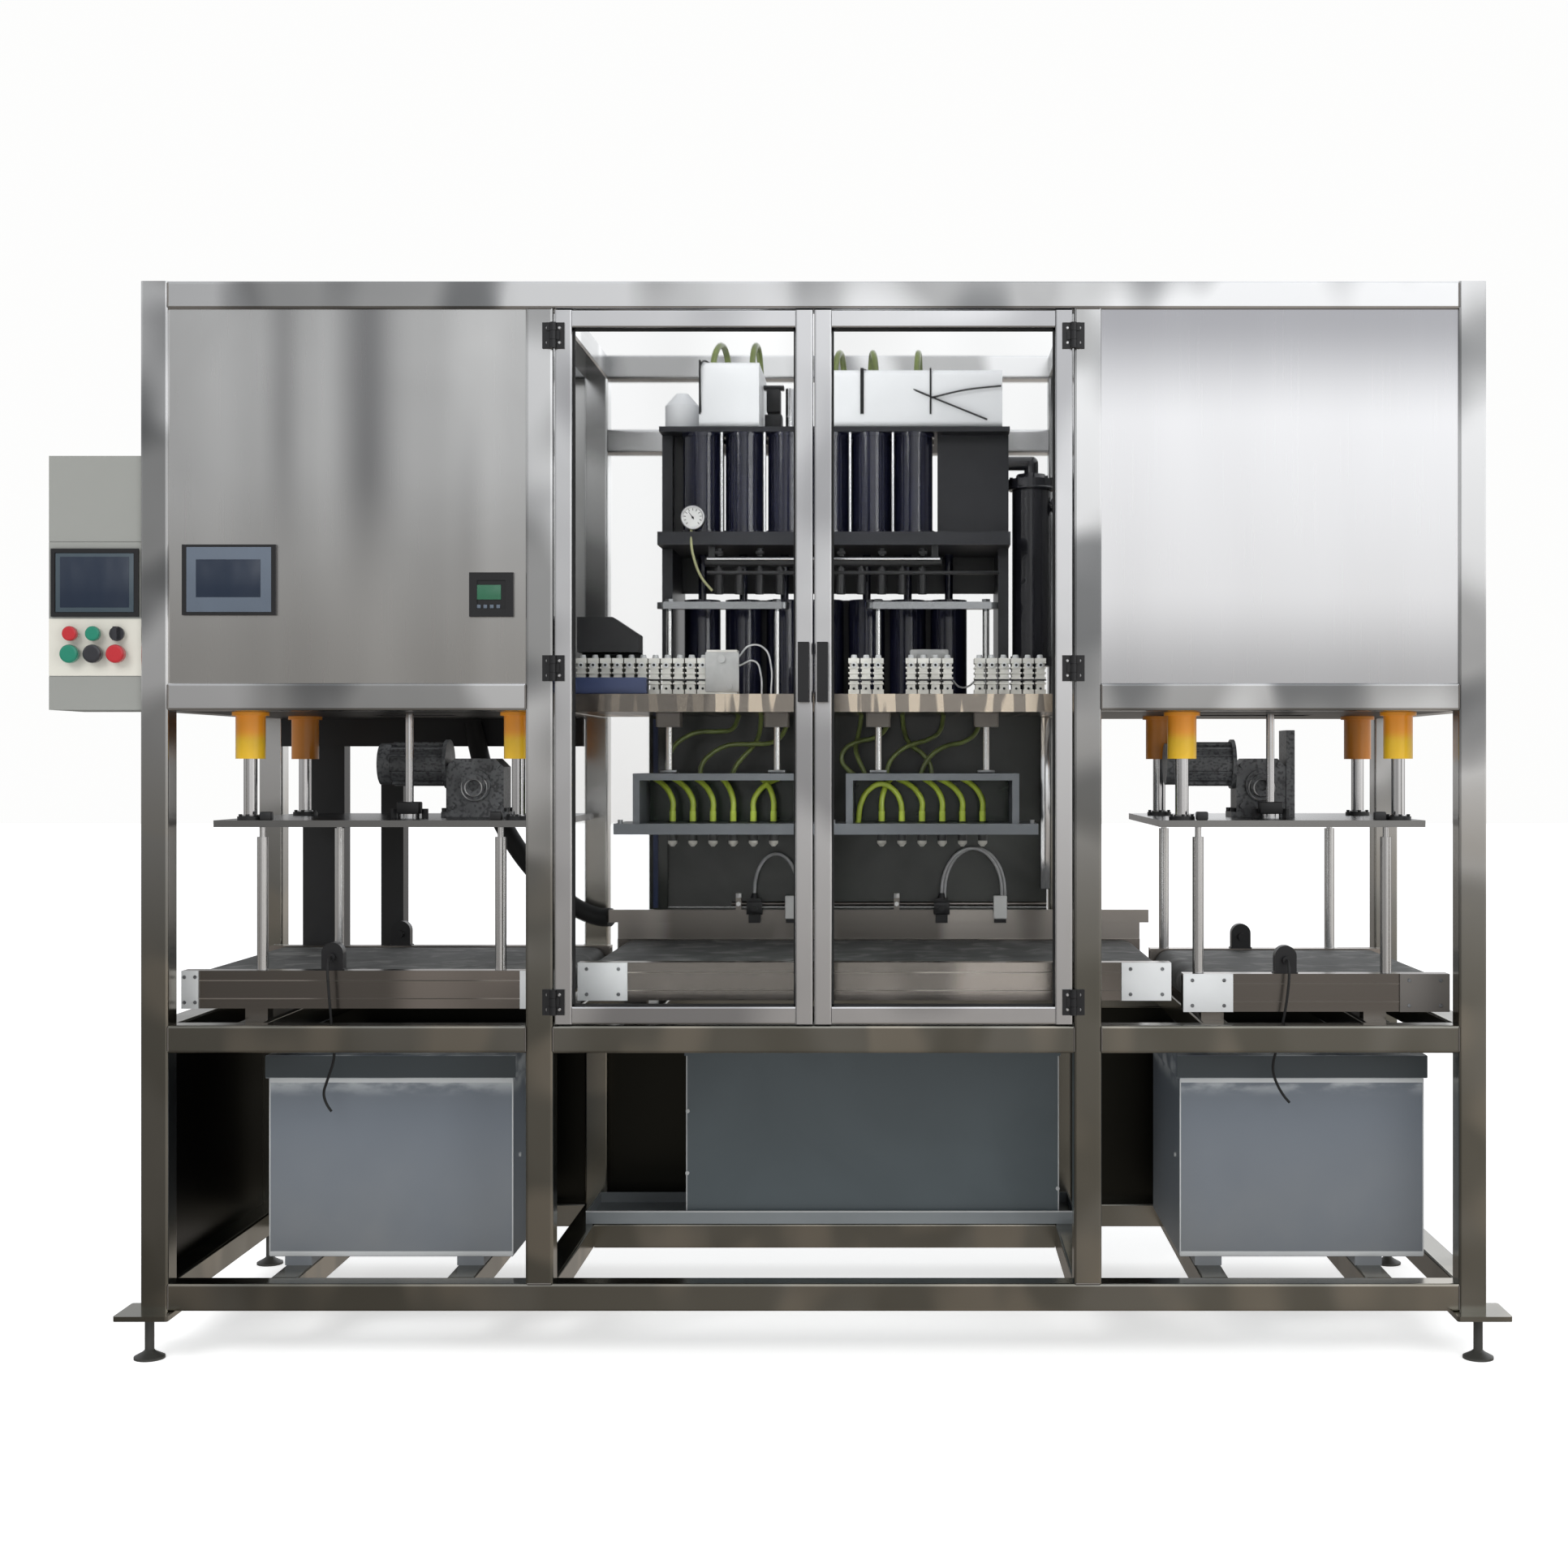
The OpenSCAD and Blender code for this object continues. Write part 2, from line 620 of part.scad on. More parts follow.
module right_press_plate() { color("silver") press_plate(1); }
module left_press_rods() { color("gainsboro") press_rods(0); }
module right_press_rods() { color("gainsboro") press_rods(1); }
gearbox_h = 138;
motor_len = 164;
box_lens = [136, 117];
motor_starts = [-84, -243];
left_motor_x = press_xs[0] + motor_starts[0];
right_motor_x = press_xs[1] + motor_starts[1];
left_motor_span = [left_motor_x, left_motor_x + motor_len];
left_box_span = [left_motor_span[1], left_motor_span[1] + box_lens[0]];
right_motor_span = [right_motor_x, right_motor_x + motor_len];
right_box_span = [right_motor_span[1], right_motor_span[1] + box_lens[1]];
module left_gear_motor() { color("gray") gear_motor(left_motor_span, left_box_span, gearbox_h); }
module right_gear_motor() {
    upright_w = 20;
    upright_h = 205;
    half_d = 50;
    color("gray") {
        gear_motor(right_motor_span, right_box_span, gearbox_h);
        seated() block([right_box_span[1], right_box_span[1] + upright_w], [motor_y - half_d, motor_y + half_d],
                       [press_top, press_top + upright_h]);
    }
}

// Conveyors: hollow side beams with a bed plate and a nose bar, belt loop and drive roller
end_in = 55;
left_past = 20;
mid_in = 38;
mid_past = 193;
right_past = 220;
left_run = [-half_w + end_in, -bay_w / 2 + left_past];
mid_run = [-bay_w / 2 + mid_in, inner_x + mid_past];
right_run = [inner_x + right_past, half_w - end_in];
runs = [left_run, mid_run, right_run];
run_tops = [left_belt_z, mid_belt_z, right_belt_z];
run_feet = [[belt_bars[0], -inner_x], [belt_bars[1], inner_x], [belt_bars[2], belt_bars[3]]];
beam_wall = 5;
bed_t = 3;
belt_drop = 3;
belt_side_gap = 10;
roller_in = 45;
roller_side_gap = 2;
roller_shaft_d = 20;
belt_ys = [belt_front + belt_beam_t, belt_rear];
beam_fronts = [belt_front, belt_rear];
function roller_z(i) = run_tops[i] - belt_drop - belt_t - rest_gap - roller_d / 2;
module side_beam(i, y) {
    z = run_tops[i] - belt_beam_h;
    difference() {
        block(runs[i], [y, y + belt_beam_t], [z, run_tops[i]]);
        block([runs[i][0] - over, runs[i][1] + over], [y + beam_wall, y + belt_beam_t - beam_wall],
              [z + beam_wall, run_tops[i] - beam_wall]);
        rod_y(runs[i][1] - roller_in, [y - over, y + belt_beam_t + over], roller_z(i), roller_shaft_d + 2 * run_gap);
    }
}
module conveyor_beams() {
    foot_w = 50;
    color("silver") seated() for (i = [0 : 2]) {
        for (y = beam_fronts) {
            side_beam(i, y);
            for (x = run_feet[i])
                block([x - foot_w / 2, x + foot_w / 2], [y, y + belt_beam_t], [mid_top, run_tops[i] - belt_beam_h]);
        }
        rod_y(runs[i][0] + roller_in, belt_ys, roller_z(i), roller_d);
        bed_top = roller_z(i) + roller_d / 2 + rest_gap;
        block([runs[i][0] + roller_in + roller_d / 2, runs[i][1] - roller_in - roller_d / 2 - bed_t], belt_ys,
              [bed_top - bed_t, bed_top]);
    }
}
module belt_outline(i, r) {
    x0 = runs[i][0] + roller_in;
    x1 = runs[i][1] - roller_in;
    translate([x0, -r]) square([x1 - x0, 2 * r]);
    for (x = [x0, x1]) translate([x, 0]) circle(r = r);
}
module conveyor_belts() {
    r = roller_d / 2 + rest_gap;
    color("dimgray") seated() for (i = [0 : 2])
        translate([0, belt_ys[1] - belt_side_gap, roller_z(i)]) rotate([90, 0, 0])
            linear_extrude(belt_ys[1] - belt_ys[0] - 2 * belt_side_gap) difference() {
                belt_outline(i, r + belt_t);
                belt_outline(i, r);
            }
}
module drive_roller(i) {
    seated() {
        rod_y(runs[i][1] - roller_in, [belt_ys[0] + roller_side_gap, belt_ys[1] - roller_side_gap], roller_z(i), roller_d);
        for (ys = [[belt_front + beam_wall / 2, belt_ys[0] + roller_side_gap],
                   [belt_ys[1] - roller_side_gap, belt_rear + belt_beam_t - beam_wall / 2]])
            rod_y(runs[i][1] - roller_in, ys, roller_z(i), roller_shaft_d);
    }
}
module left_drive_roller() { color("silver") drive_roller(0); }
module middle_drive_roller() { color("silver") drive_roller(1); }
module right_drive_roller() { color("silver") drive_roller(2); }
end_plate_w = 110;
end_plate_t = 6;
left_end_w = 37;
module conveyor_end_plates() {
    color("white") seated() for (i = [0 : 2], e = [0, 1], f = [0, 1]) {
        w = i + e == 0 ? left_end_w : end_plate_w;
        x = e == 0 ? runs[i][0] : runs[i][1] - w;
        y = f == 0 ? belt_front - end_plate_t : belt_rear + belt_beam_t;
        block([x, x + w], [y, y + end_plate_t], [run_tops[i] - belt_beam_h, run_tops[i]]);
    }
}
// Rear guide of the middle conveyor: an upstand with a bar on it, and a thin rod on two clamps
guide_h = 32;
guide_t = 6;
guide_upstand = 41;
guide_over = 22;
guide_rod_xs = [-240, 554];
guide_rod_d = 10;
guide_clamps = [-222, 176];
clamp_w = 14;
clamp_h = 30;
guide_z = mid_belt_z + guide_upstand;
guide_ys = [belt_rear, belt_rear + 2 * guide_t];
module guide_rail() {
    color("silver") seated() {
        block(mid_run, [belt_rear + guide_t, belt_rear + 2 * guide_t], [mid_belt_z, guide_z]);
        block([mid_run[0] - guide_over, mid_run[1] + guide_over], guide_ys, [guide_z, guide_z + guide_h]);
        for (x = guide_clamps) block([x - clamp_w / 2, x + clamp_w / 2], guide_ys, [guide_z + guide_h, guide_z + guide_h + clamp_h]);
        rod_x(guide_rod_xs, belt_rear + guide_t, guide_z + guide_h + clamp_h / 2, guide_rod_d);
    }
}
// Arched position sensors on the outer conveyors and four sensor blocks on the rear guide's face
sensor_xs = [-1074, 1044];
sensor_d = 18;
sensor_len = 52;
sensor_rise = 30;
sensor_w = 48;
sensor_t = 28;
sensor_h = 62;
rail_sensors = [-181, -87, 289, 436];
rail_sensor_w = 30;
module position_sensors() {
    foot_t = 3;
    color("dimgray") seated() {
        for (s = [0, 1], y = post_ys) {
            x = sensor_xs[s];
            z = belt_zs[s];
            block([x - sensor_w / 2 - foot_t, x + sensor_w / 2 + foot_t], [y - sensor_t / 2, y + sensor_t / 2], [z, z + foot_t]);
            block([x - sensor_w / 2, x + sensor_w / 2], [y - sensor_t / 2, y + sensor_t / 2],
                  [z + foot_t, z + sensor_h - sensor_w / 2]);
            rod_y(x, [y - sensor_t / 2, y + sensor_t / 2], z + sensor_h - sensor_w / 2, sensor_w);
            rod_y(x, [y - sensor_len / 2, y - sensor_t / 2], z + sensor_rise, sensor_d);
        }
        for (x = rail_sensors)
            block([x - rail_sensor_w / 2, x + rail_sensor_w / 2], [belt_rear - clamp_w - rest_gap, belt_rear - rest_gap],
                  [guide_z, guide_z + sensor_h]);
    }
}

// Work table: a closed box of sheet across the middle bay, with the rod bearings under it
head_xs = [-235, 262];
head_y = 445;
head_rod_half = 128;
table_ys = [230, 760];
table_wall = 6;
table_bottom = table_z - table_t;
module each_head_rod() { for (h = head_xs, s = [-1, 1]) translate([h + s * head_rod_half, head_y, 0]) children(); }
module work_table() {
    half = bay_w / 2;
    color("silver") seated() difference() {
        block([-half, half], table_ys, [table_bottom, table_z]);
        block([-half + table_wall, half - table_wall], [table_ys[0] + table_wall, table_ys[1] - table_wall],
              [table_bottom + table_wall, table_z - table_wall]);
        each_head_rod() rod_z(0, 0, [table_bottom - over, table_z + over], head_rod_d + 2 * over);
    }
}
bearing_w = 58;
bearing_h = 31;
module rod_bearings() {
    color("dimgray") seated() each_head_rod() difference() {
        translate([0, 0, table_bottom - bearing_h]) linear_extrude(bearing_h) round_square(bearing_w, tube_round);
        rod_z(0, 0, [table_bottom - bearing_h - over, table_bottom + over], head_rod_d + 2 * run_gap);
    }
}

// Dosing tower: two posts and a shelf on the table, two rows of dosing cylinders, header tank on top
tower_xs = [-383, 445];
tower_ys = [470, 760];
tower_post_w = 25;
shelf_z = 1806;
shelf_t = 31;
shelf_y = 372;
tower_top = 2089;
tower_plate_t = 12;
screen_x = 275;
doser_row_ys = [455, 565];
doser_x = -286;
doser_cap_h = 9;
shelf_top = shelf_z + shelf_t;
doser_top = tower_top - tower_plate_t;
module tower_frame() {
    color("dimgray") seated() {
        for (x = [tower_xs[0], tower_xs[1] - tower_post_w]) {
            block([x, x + tower_post_w], tower_ys, [table_z, shelf_z]);
            block([x, x + tower_post_w], tower_ys, [shelf_top, doser_top]);
        }
        block(tower_xs, [shelf_y, tower_ys[1]], [shelf_z, shelf_top]);
        block(tower_xs, [doser_row_ys[0] - doser_d / 2, tower_ys[1]], [doser_top, tower_top]);
        block([screen_x, tower_xs[1] - tower_post_w], [tower_ys[0], tower_ys[0] + cabinet_wall],
              [shelf_top, doser_top]);
    }
}
// Buffer vessels that stand on the table behind the heads, each with a pipe up to the shelf
vessel_y = 620;
vessel_in = 15;
vessel_h = 242;
vessel_pipe_d = 20;
module dosing_cylinders() {
    color("midnightblue") seated() {
        for (i = [0 : 5], y = doser_row_ys) translate([doser_x + i * doser_pitch, y, 0]) {
            rod_z(0, 0, [shelf_top, shelf_top + doser_cap_h], doser_d);
            rod_z(0, 0, [shelf_top + doser_cap_h, doser_top - doser_cap_h], doser_d - doser_cap_h);
            rod_z(0, 0, [doser_top - doser_cap_h, doser_top], doser_d);
        }
        for (i = [0 : 6]) translate([doser_x - vessel_in + i * doser_pitch, vessel_y, 0]) {
            rod_z(0, 0, [table_z, table_z + vessel_h], doser_d - doser_cap_h);
            rod_z(0, 0, [table_z + vessel_h, shelf_z], vessel_pipe_d);
        }
    }
}
// Header containers on the tower: two rounded boxes with screw caps and a bottle at the left
header_spans = [[-290, -148], [20, 428]];
header_hs = [155, 137];
header_back = 480;
header_w = 270;
header_ys = [frame_d - header_back, frame_d - header_back + header_w];
bottle_x = -338;
bottle_d = 82;
bottle_h = 62;
bottle_neck_d = 30;
header_cap_d = 44;
header_cap_h = 16;
module header_tank() {
    round_r = 14;
    color("white") seated() {
        for (i = [0, 1]) {
            xs = header_spans[i];
            h = header_hs[i];
            difference() {
                translate([xs[0], 0, 0]) rotate([90, 0, 90]) linear_extrude(xs[1] - xs[0])
                    translate([(header_ys[0] + header_ys[1]) / 2, tower_top + h / 2])
                        header_section(header_ys[1] - header_ys[0], h, round_r);
                block([xs[0] + tank_wall, xs[1] - tank_wall], [header_ys[0] + tank_wall, header_ys[1] - tank_wall],
                      [tower_top + tank_wall, tower_top + h - tank_wall]);
            }
            rod_z((xs[0] + xs[1]) / 2, (header_ys[0] + header_ys[1]) / 2, [tower_top + h, tower_top + h + header_cap_h],
                  header_cap_d);
        }
        translate([bottle_x, header_ys[0] + bottle_d, tower_top]) rotate_extrude() polygon([
            [0, 0], [bottle_d / 2, 0], [bottle_d / 2, bottle_h], [bottle_neck_d / 2, bottle_h + bottle_neck_d],
            [0, bottle_h + bottle_neck_d]
        ]);
    }
}
module header_section(w, h, r) {
    square([w, h - 2 * r], center = true);
    square([w - 2 * r, h], center = true);
    for (x = [-1, 1], y = [-1, 1]) translate([x * (w / 2 - r), y * (h / 2 - r)]) circle(r = r);
}

// Manifold under the shelf: a bar on two hangers, a row of valves and the pressure gauge above it
manifold_xs = [-273, 284];
manifold_y = 398;
manifold_z = 1769;
manifold_d = 24;
hanger_w = 16;
drop_valve_d = 21;
drop_valve_h = 61;
drop_valve_gap = 4;
gauge_x = -300;
gauge_z = 1870;
gauge_d = 54;
gauge_ys = [374, 398];
gauge_stem_d = 8;
module dosing_manifold() {
    color("gray") seated() {
        rod_x(manifold_xs, manifold_y, manifold_z, manifold_d);
        for (x = [manifold_xs[0] + hanger_w, manifold_xs[1] - hanger_w])
            block([x - hanger_w / 2, x + hanger_w / 2], [manifold_y - hanger_w / 2, manifold_y + hanger_w / 2],
                  [manifold_z, shelf_z]);
        for (i = [0 : 10]) translate([manifold_xs[0] + hanger_w * 2 + i * nozzle_pitch, manifold_y, 0]) {
            valve_top = manifold_z - manifold_d / 2 - drop_valve_gap;
            rod_z(0, 0, [valve_top - drop_valve_h, valve_top], drop_valve_d);
            rod_z(0, 0, [valve_top, manifold_z], drop_valve_d / 2);
        }
        rod_y(gauge_x, gauge_ys, gauge_z, gauge_d);
        rod_z(gauge_x, gauge_ys[1] - gauge_stem_d, [shelf_top, gauge_z], gauge_stem_d);
    }
}

// Acid filter: a tall housing on a foot, with a flanged cap and an elbow to the tower
filter_x = 502;
filter_y = 520;
filter_d = 92;
filter_zs = [1527, 1953];
filter_flange_d = 112;
filter_pipe_d = 34;
module acid_filter() {
    foot_d = 60;
    cap_h = 24;
    rise = 40;
    top = filter_zs[1] + cap_h;
    color("dimgray") seated() {
        rod_z(filter_x, filter_y, [table_z, filter_zs[0]], foot_d);
        rod_z(filter_x, filter_y, filter_zs, filter_d);
        rod_z(filter_x, filter_y, [filter_zs[0], filter_zs[0] + cap_h], filter_flange_d - cap_h / 2);
        rod_z(filter_x, filter_y, [filter_zs[1], top], filter_flange_d);
        rod_z(filter_x, filter_y, [top, top + rise], filter_pipe_d);
        translate([filter_x, filter_y, top + rise]) sphere(d = filter_pipe_d);
        rod_x([tower_xs[1], filter_x], filter_y, top + rise, filter_pipe_d);
    }
}

// Rows of ribbed valve bodies along the table's front
valve_rows = [[-548, 11], [80, 3], [212, 4], [370, 6]];
valve_pitch = 28;
valve_w = 25;
valve_ys = [285, 345];
valve_h = 84;
rib_w = 4;
module table_valve() {
    cap_h = 12;
    waist = 3;
    block([-valve_w / 2, valve_w / 2], valve_ys, [table_z, table_z + cap_h]);
    block([-valve_w / 2 + waist, valve_w / 2 - waist], [valve_ys[0] + waist, valve_ys[1] - waist],
          [table_z + cap_h, table_z + valve_h - cap_h]);
    for (z = [table_z + 2 * cap_h : cap_h : table_z + valve_h - 2 * cap_h])
        block([-valve_w / 2, valve_w / 2], valve_ys, [z, z + rib_w]);
    block([-valve_w / 2, valve_w / 2], valve_ys, [table_z + valve_h - cap_h, table_z + valve_h]);
}
block_valve_x = -224;
block_valve_w = 70;
block_valve_h = 103;
module table_valves() {
    color("white") seated() {
        for (r = valve_rows, i = [0 : r[1] - 1]) translate([r[0] + i * valve_pitch, 0, 0]) table_valve();
        block([block_valve_x - block_valve_w / 2, block_valve_x + block_valve_w / 2], valve_ys,
              [table_z, table_z + block_valve_h]);
    }
}
wiring_xs = [-560, -418];
wiring_ys = [300, 378];
wiring_zs = [1551, 1632];
module wiring_box() {
    plate_t = 4;
    chamfer = 20;
    color("dimgray") seated() {
        translate([0, wiring_ys[1], 0]) rotate([90, 0, 0]) linear_extrude(wiring_ys[1] - wiring_ys[0]) polygon([
            [wiring_xs[0], wiring_zs[0]], [wiring_xs[1], wiring_zs[0]], [wiring_xs[1], wiring_zs[1] - 2 * chamfer],
            [wiring_xs[1] - 3 * chamfer, wiring_zs[1]], [wiring_xs[0], wiring_zs[1]]
        ]);
        block(wiring_xs, [wiring_ys[1], wiring_ys[1] + plate_t], [table_z, wiring_zs[1] - 2 * chamfer]);
    }
}
splash_xs = [-439, 555];
splash_t = 4;
splash_y = table_ys[1] - splash_t;
splash_rise = 6;
splash_z = guide_z + guide_h + splash_rise;
module splash_panel() { color("dimgray") seated() block(splash_xs, [splash_y, splash_y + splash_t], [splash_z, table_bottom]); }

// Filling heads: box on a base plate, two rods up to a yoke, nozzles below and their hoses
base_zs = [1128, 1153];
base_half = 246;
base_ys = [335, 555];
box_half = 202;
box_ys = [345, 545];
box_top = 1270;
box_wall = 16;
box_back_t = 6;
neck_up = 27;
nozzle_neck_d = 15;
nozzle_tip_d = 22;
nozzle_drop = 32;
yoke_z = 1660;
yoke_t = 17;
yoke_half = 140;
hose_d = 11;
hose_rise = 45;
hose_bend_r = 34;
hose_turn = 30;
supply_xs = [-90, -10, 60];
supply_y = 510;
supply_bend_r = 48;
supply_rise = 22;
function nozzle_x(i) = (i - (nozzles - 1) / 2) * nozzle_pitch;
module head_box(x) {
    seated() translate([x, 0, 0]) {
        difference() {
            block([-base_half, base_half], base_ys, base_zs);
            for (i = [0 : nozzles - 1])
                rod_z(nozzle_x(i), head_y, [base_zs[0] - over, base_zs[1] + over], nozzle_neck_d + 2 * run_gap);
        }
        difference() {
            block([-box_half, box_half], box_ys, [base_zs[1], box_top]);
            block([-box_half + box_wall, box_half - box_wall], [box_ys[0] - over, box_ys[1] - box_back_t],
                  [base_zs[1] - over, box_top - box_wall]);
        }
    }
}
module head_rods(x) {
    seated() translate([x, head_y, 0]) {
        for (s = [-1, 1]) rod_z(s * head_rod_half, 0, [box_top, yoke_z], head_rod_d);
        block([-yoke_half, yoke_half], [-yoke_t, yoke_t], [yoke_z, yoke_z + yoke_t]);
    }
}
module head_nozzles(x) {
    tip_h = 8;
    seated() for (i = [0 : nozzles - 1]) translate([x + nozzle_x(i), head_y, 0]) {
        translate([0, 0, base_zs[0] - nozzle_drop]) cylinder(h = tip_h, d1 = nozzle_neck_d / 2, d2 = nozzle_tip_d);
        rod_z(0, 0, [base_zs[0] - nozzle_drop + tip_h, base_zs[0]], nozzle_tip_d);
        rod_z(0, 0, [base_zs[0], base_zs[1] + neck_up], nozzle_neck_d);
    }
}
module bend(r, angle, d) { rotate([90, 0, 0]) rotate_extrude(angle = angle) translate([r, 0]) circle(d = d); }
// Hose from a nozzle up and over in a half circle, down to a union on the base plate behind it
module dosing_hose(turn) {
    foot = base_zs[1];
    rotate([0, 0, turn]) {
        rod_z(0, 0, [foot + neck_up, foot + neck_up + hose_rise - hose_d], hose_d);
        translate([-hose_bend_r, 0, foot + neck_up + hose_rise - hose_d]) bend(hose_bend_r, 180, hose_d);
        rod_z(-2 * hose_bend_r, 0, [foot, foot + neck_up + hose_rise - hose_d], hose_d);
    }
}
// Hose from the box top in an S bend up to the table's underside
module supply_hose() {
    z = box_top + supply_rise;
    rod_z(0, 0, [box_top, z], hose_d);
    translate([supply_bend_r, 0, z]) rotate([0, 0, 180]) bend(supply_bend_r, 90, hose_d);
    translate([supply_bend_r, 0, z + 2 * supply_bend_r]) mirror([0, 0, 1]) bend(supply_bend_r, 90, hose_d);
    rod_z(2 * supply_bend_r, 0, [z + 2 * supply_bend_r, table_bottom], hose_d);
}
module head_hoses(x) {
    seated() {
        for (i = [0 : nozzles - 1]) translate([x + nozzle_x(i), head_y, 0]) dosing_hose(-hose_turn);
        for (s = supply_xs) translate([x + s, supply_y, 0]) supply_hose();
    }
}
module left_head_box() { color("slategray") head_box(head_xs[0]); }
module right_head_box() { color("slategray") head_box(head_xs[1]); }
module left_head_rods() { color("silver") head_rods(head_xs[0]); }
module right_head_rods() { color("silver") head_rods(head_xs[1]); }
module left_head_nozzles() { color("white") head_nozzles(head_xs[0]); }
module right_head_nozzles() { color("white") head_nozzles(head_xs[1]); }
module left_head_hoses() { color("yellowgreen") head_hoses(head_xs[0]); }
module right_head_hoses() { color("yellowgreen") head_hoses(head_xs[1]); }

// Tanks: side tanks on skids with flat lids, a long tank on a tray between them
side_tank_xs = [-957, 1090];
side_tank_w = 546;
side_tank_ys = [170, 700];
skid_h = 20;
lid_over = 7;
tank_z = base_top + skid_h;
module side_tank(x, bars) {
    half = side_tank_w / 2;
    top = tank_z + tank_h;
    difference() {
        block([x - half, x + half], side_tank_ys, [tank_z, top]);
        block([x - half + tank_wall, x + half - tank_wall], [side_tank_ys[0] + tank_wall, side_tank_ys[1] - tank_wall],
              [tank_z + tank_wall, top + over]);
    }
    difference() {
        block([x - half - lid_over, x + half + lid_over], [side_tank_ys[0] - lid_over, side_tank_ys[1] + lid_over],
              [top, top + lid_h]);
        block([x - half + tank_wall, x + half - tank_wall], [side_tank_ys[0] + tank_wall, side_tank_ys[1] - tank_wall],
              [top - over, top + lid_h - tank_wall]);
    }
    for (b = bars) block([b - tube / 2, b + tube / 2], side_tank_ys, [base_top, tank_z]);
}
module side_tanks() {
    color("lightgray") seated() {
        side_tank(side_tank_xs[0], [tank_bars[0], tank_bars[1]]);
        side_tank(side_tank_xs[1], [tank_bars[2], tank_bars[3]]);
    }
}
tray_xs = [-585, 615];
tray_back = 2;
tray_ys = [tank_beam_y, frame_d - tube - tray_back];
tray_h = 30;
tray_t = 4;
mid_tank_xs = [-339, 574];
mid_tank_front = 10;
mid_tank_back = 80;
mid_tank_ys = [tank_beam_y + mid_tank_front, frame_d - mid_tank_back];
mid_tank_top = 600;
module center_tank() {
    lip_h = 24;
    lip_out = 5;
    z = base_top + tray_t;
    color("gray") seated() {
        difference() {
            block(mid_tank_xs, mid_tank_ys, [z, mid_tank_top - lip_h]);
            block([mid_tank_xs[0] + tank_wall, mid_tank_xs[1] - tank_wall],
                  [mid_tank_ys[0] + tank_wall, mid_tank_ys[1] - tank_wall], [z + tank_wall, mid_tank_top]);
        }
        block([mid_tank_xs[0] - lip_out, mid_tank_xs[1] + lip_out], [mid_tank_ys[0] - lip_out, mid_tank_ys[1] + lip_out],
              [mid_tank_top - lip_h, mid_tank_top]);
    }
}
module tank_tray() {
    color("gray") seated() difference() {
        block(tray_xs, tray_ys, [base_top, base_top + tray_h]);
        block([tray_xs[0] + tray_t, tray_xs[1] - tray_t], [tray_ys[0] + tray_t, tray_ys[1] - tray_t],
              [base_top + tray_t, base_top + tray_h + over]);
    }
}

// Sensor cables: thin leads that hang from the front sensors to just over the side tanks
cable_d = 6;
cable_sides = 8;
left_cable = [
    [-1074, 99, 864], [-1074, 88, 863], [-1074, 80, 858], [-1073, 76, 846], [-1072, 75, 830], [-1070, 75, 800],
    [-1068, 75, 770], [-1066, 76, 740], [-1064, 78, 710], [-1063, 82, 680], [-1064, 92, 655], [-1070, 104, 630],
    [-1080, 114, 605], [-1090, 120, 580], [-1096, 124, 560], [-1094, 126, 544], [-1088, 127, 530], [-1080, 128, 518]
];
right_cable = [
    [1044, 99, 857], [1044, 88, 856], [1044, 80, 851], [1044, 76, 840], [1043, 75, 820], [1040, 75, 790],
    [1036, 75, 760], [1031, 76, 730], [1026, 78, 700], [1021, 84, 670], [1016, 94, 645], [1014, 104, 622],
    [1018, 113, 600], [1026, 119, 580], [1036, 123, 562], [1046, 126, 548], [1055, 128, 538]
];
function unit(v) = v / norm(v);
function heading(p, i) = unit(p[min(i + 1, len(p) - 1)] - p[max(i - 1, 0)]);
module swept_cable(p) {
    side = [1, 0, 0];
    rings = [for (i = [0 : len(p) - 1]) let (
        t = heading(p, i), u = unit(cross(t, cross(side, t))), v = cross(t, u))
        [for (k = [0 : cable_sides - 1]) let (a = 360 * k / cable_sides) p[i] + cable_d / 2 * (cos(a) * u + sin(a) * v)]];
    last = len(p) - 1;
    polyhedron(
        points = [for (r = rings) each r],
        faces = concat(
            [for (i = [0 : last - 1], k = [0 : cable_sides - 1]) let (n = (k + 1) % cable_sides, a = i * cable_sides)
                [a + k, a + n, a + cable_sides + n]],
            [for (i = [0 : last - 1], k = [0 : cable_sides - 1]) let (n = (k + 1) % cable_sides, a = i * cable_sides)
                [a + k, a + cable_sides + n, a + cable_sides + k]],
            [[for (k = [cable_sides - 1 : -1 : 0]) k]],
            [[for (k = [0 : cable_sides - 1]) last * cable_sides + k]]
        )
    );
}
module sensor_cables() {
    color("dimgray") seated() {
        swept_cable(left_cable);
        swept_cable(right_cable);
    }
}

columns();
long_beams();
cross_beams();
leveling_feet();
front_panels();
rear_panels();
fixed_hinge_leaves();
control_cabinet();
operator_screens();
press_top_plates();
guide_sleeves();
press_cylinders();
conveyor_beams();
conveyor_end_plates();
conveyor_belts();
guide_rail();
position_sensors();
side_tanks();
center_tank();
tank_tray();
work_table();
rod_bearings();
tower_frame();
dosing_cylinders();
header_tank();
dosing_manifold();
acid_filter();
table_valves();
wiring_box();
splash_panel();
sensor_cables();
left_door_frame();
left_door_pane();
left_door_fittings();
right_door_frame();
right_door_pane();
right_door_fittings();
left_head_box();
left_head_rods();
left_head_nozzles();
left_head_hoses();
right_head_box();
right_head_rods();
right_head_nozzles();
right_head_hoses();
left_press_plate();
left_press_rods();
left_gear_motor();
right_press_plate();
right_press_rods();
right_gear_motor();
red_lamp_button();
green_lamp_button();
selector_knob();
green_start_button();
black_reset_button();
red_stop_button();
left_drive_roller();
middle_drive_roller();
right_drive_roller();
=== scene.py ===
"""Battery acid filling machine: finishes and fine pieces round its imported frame."""
import math
from contextlib import contextmanager
from itertools import product

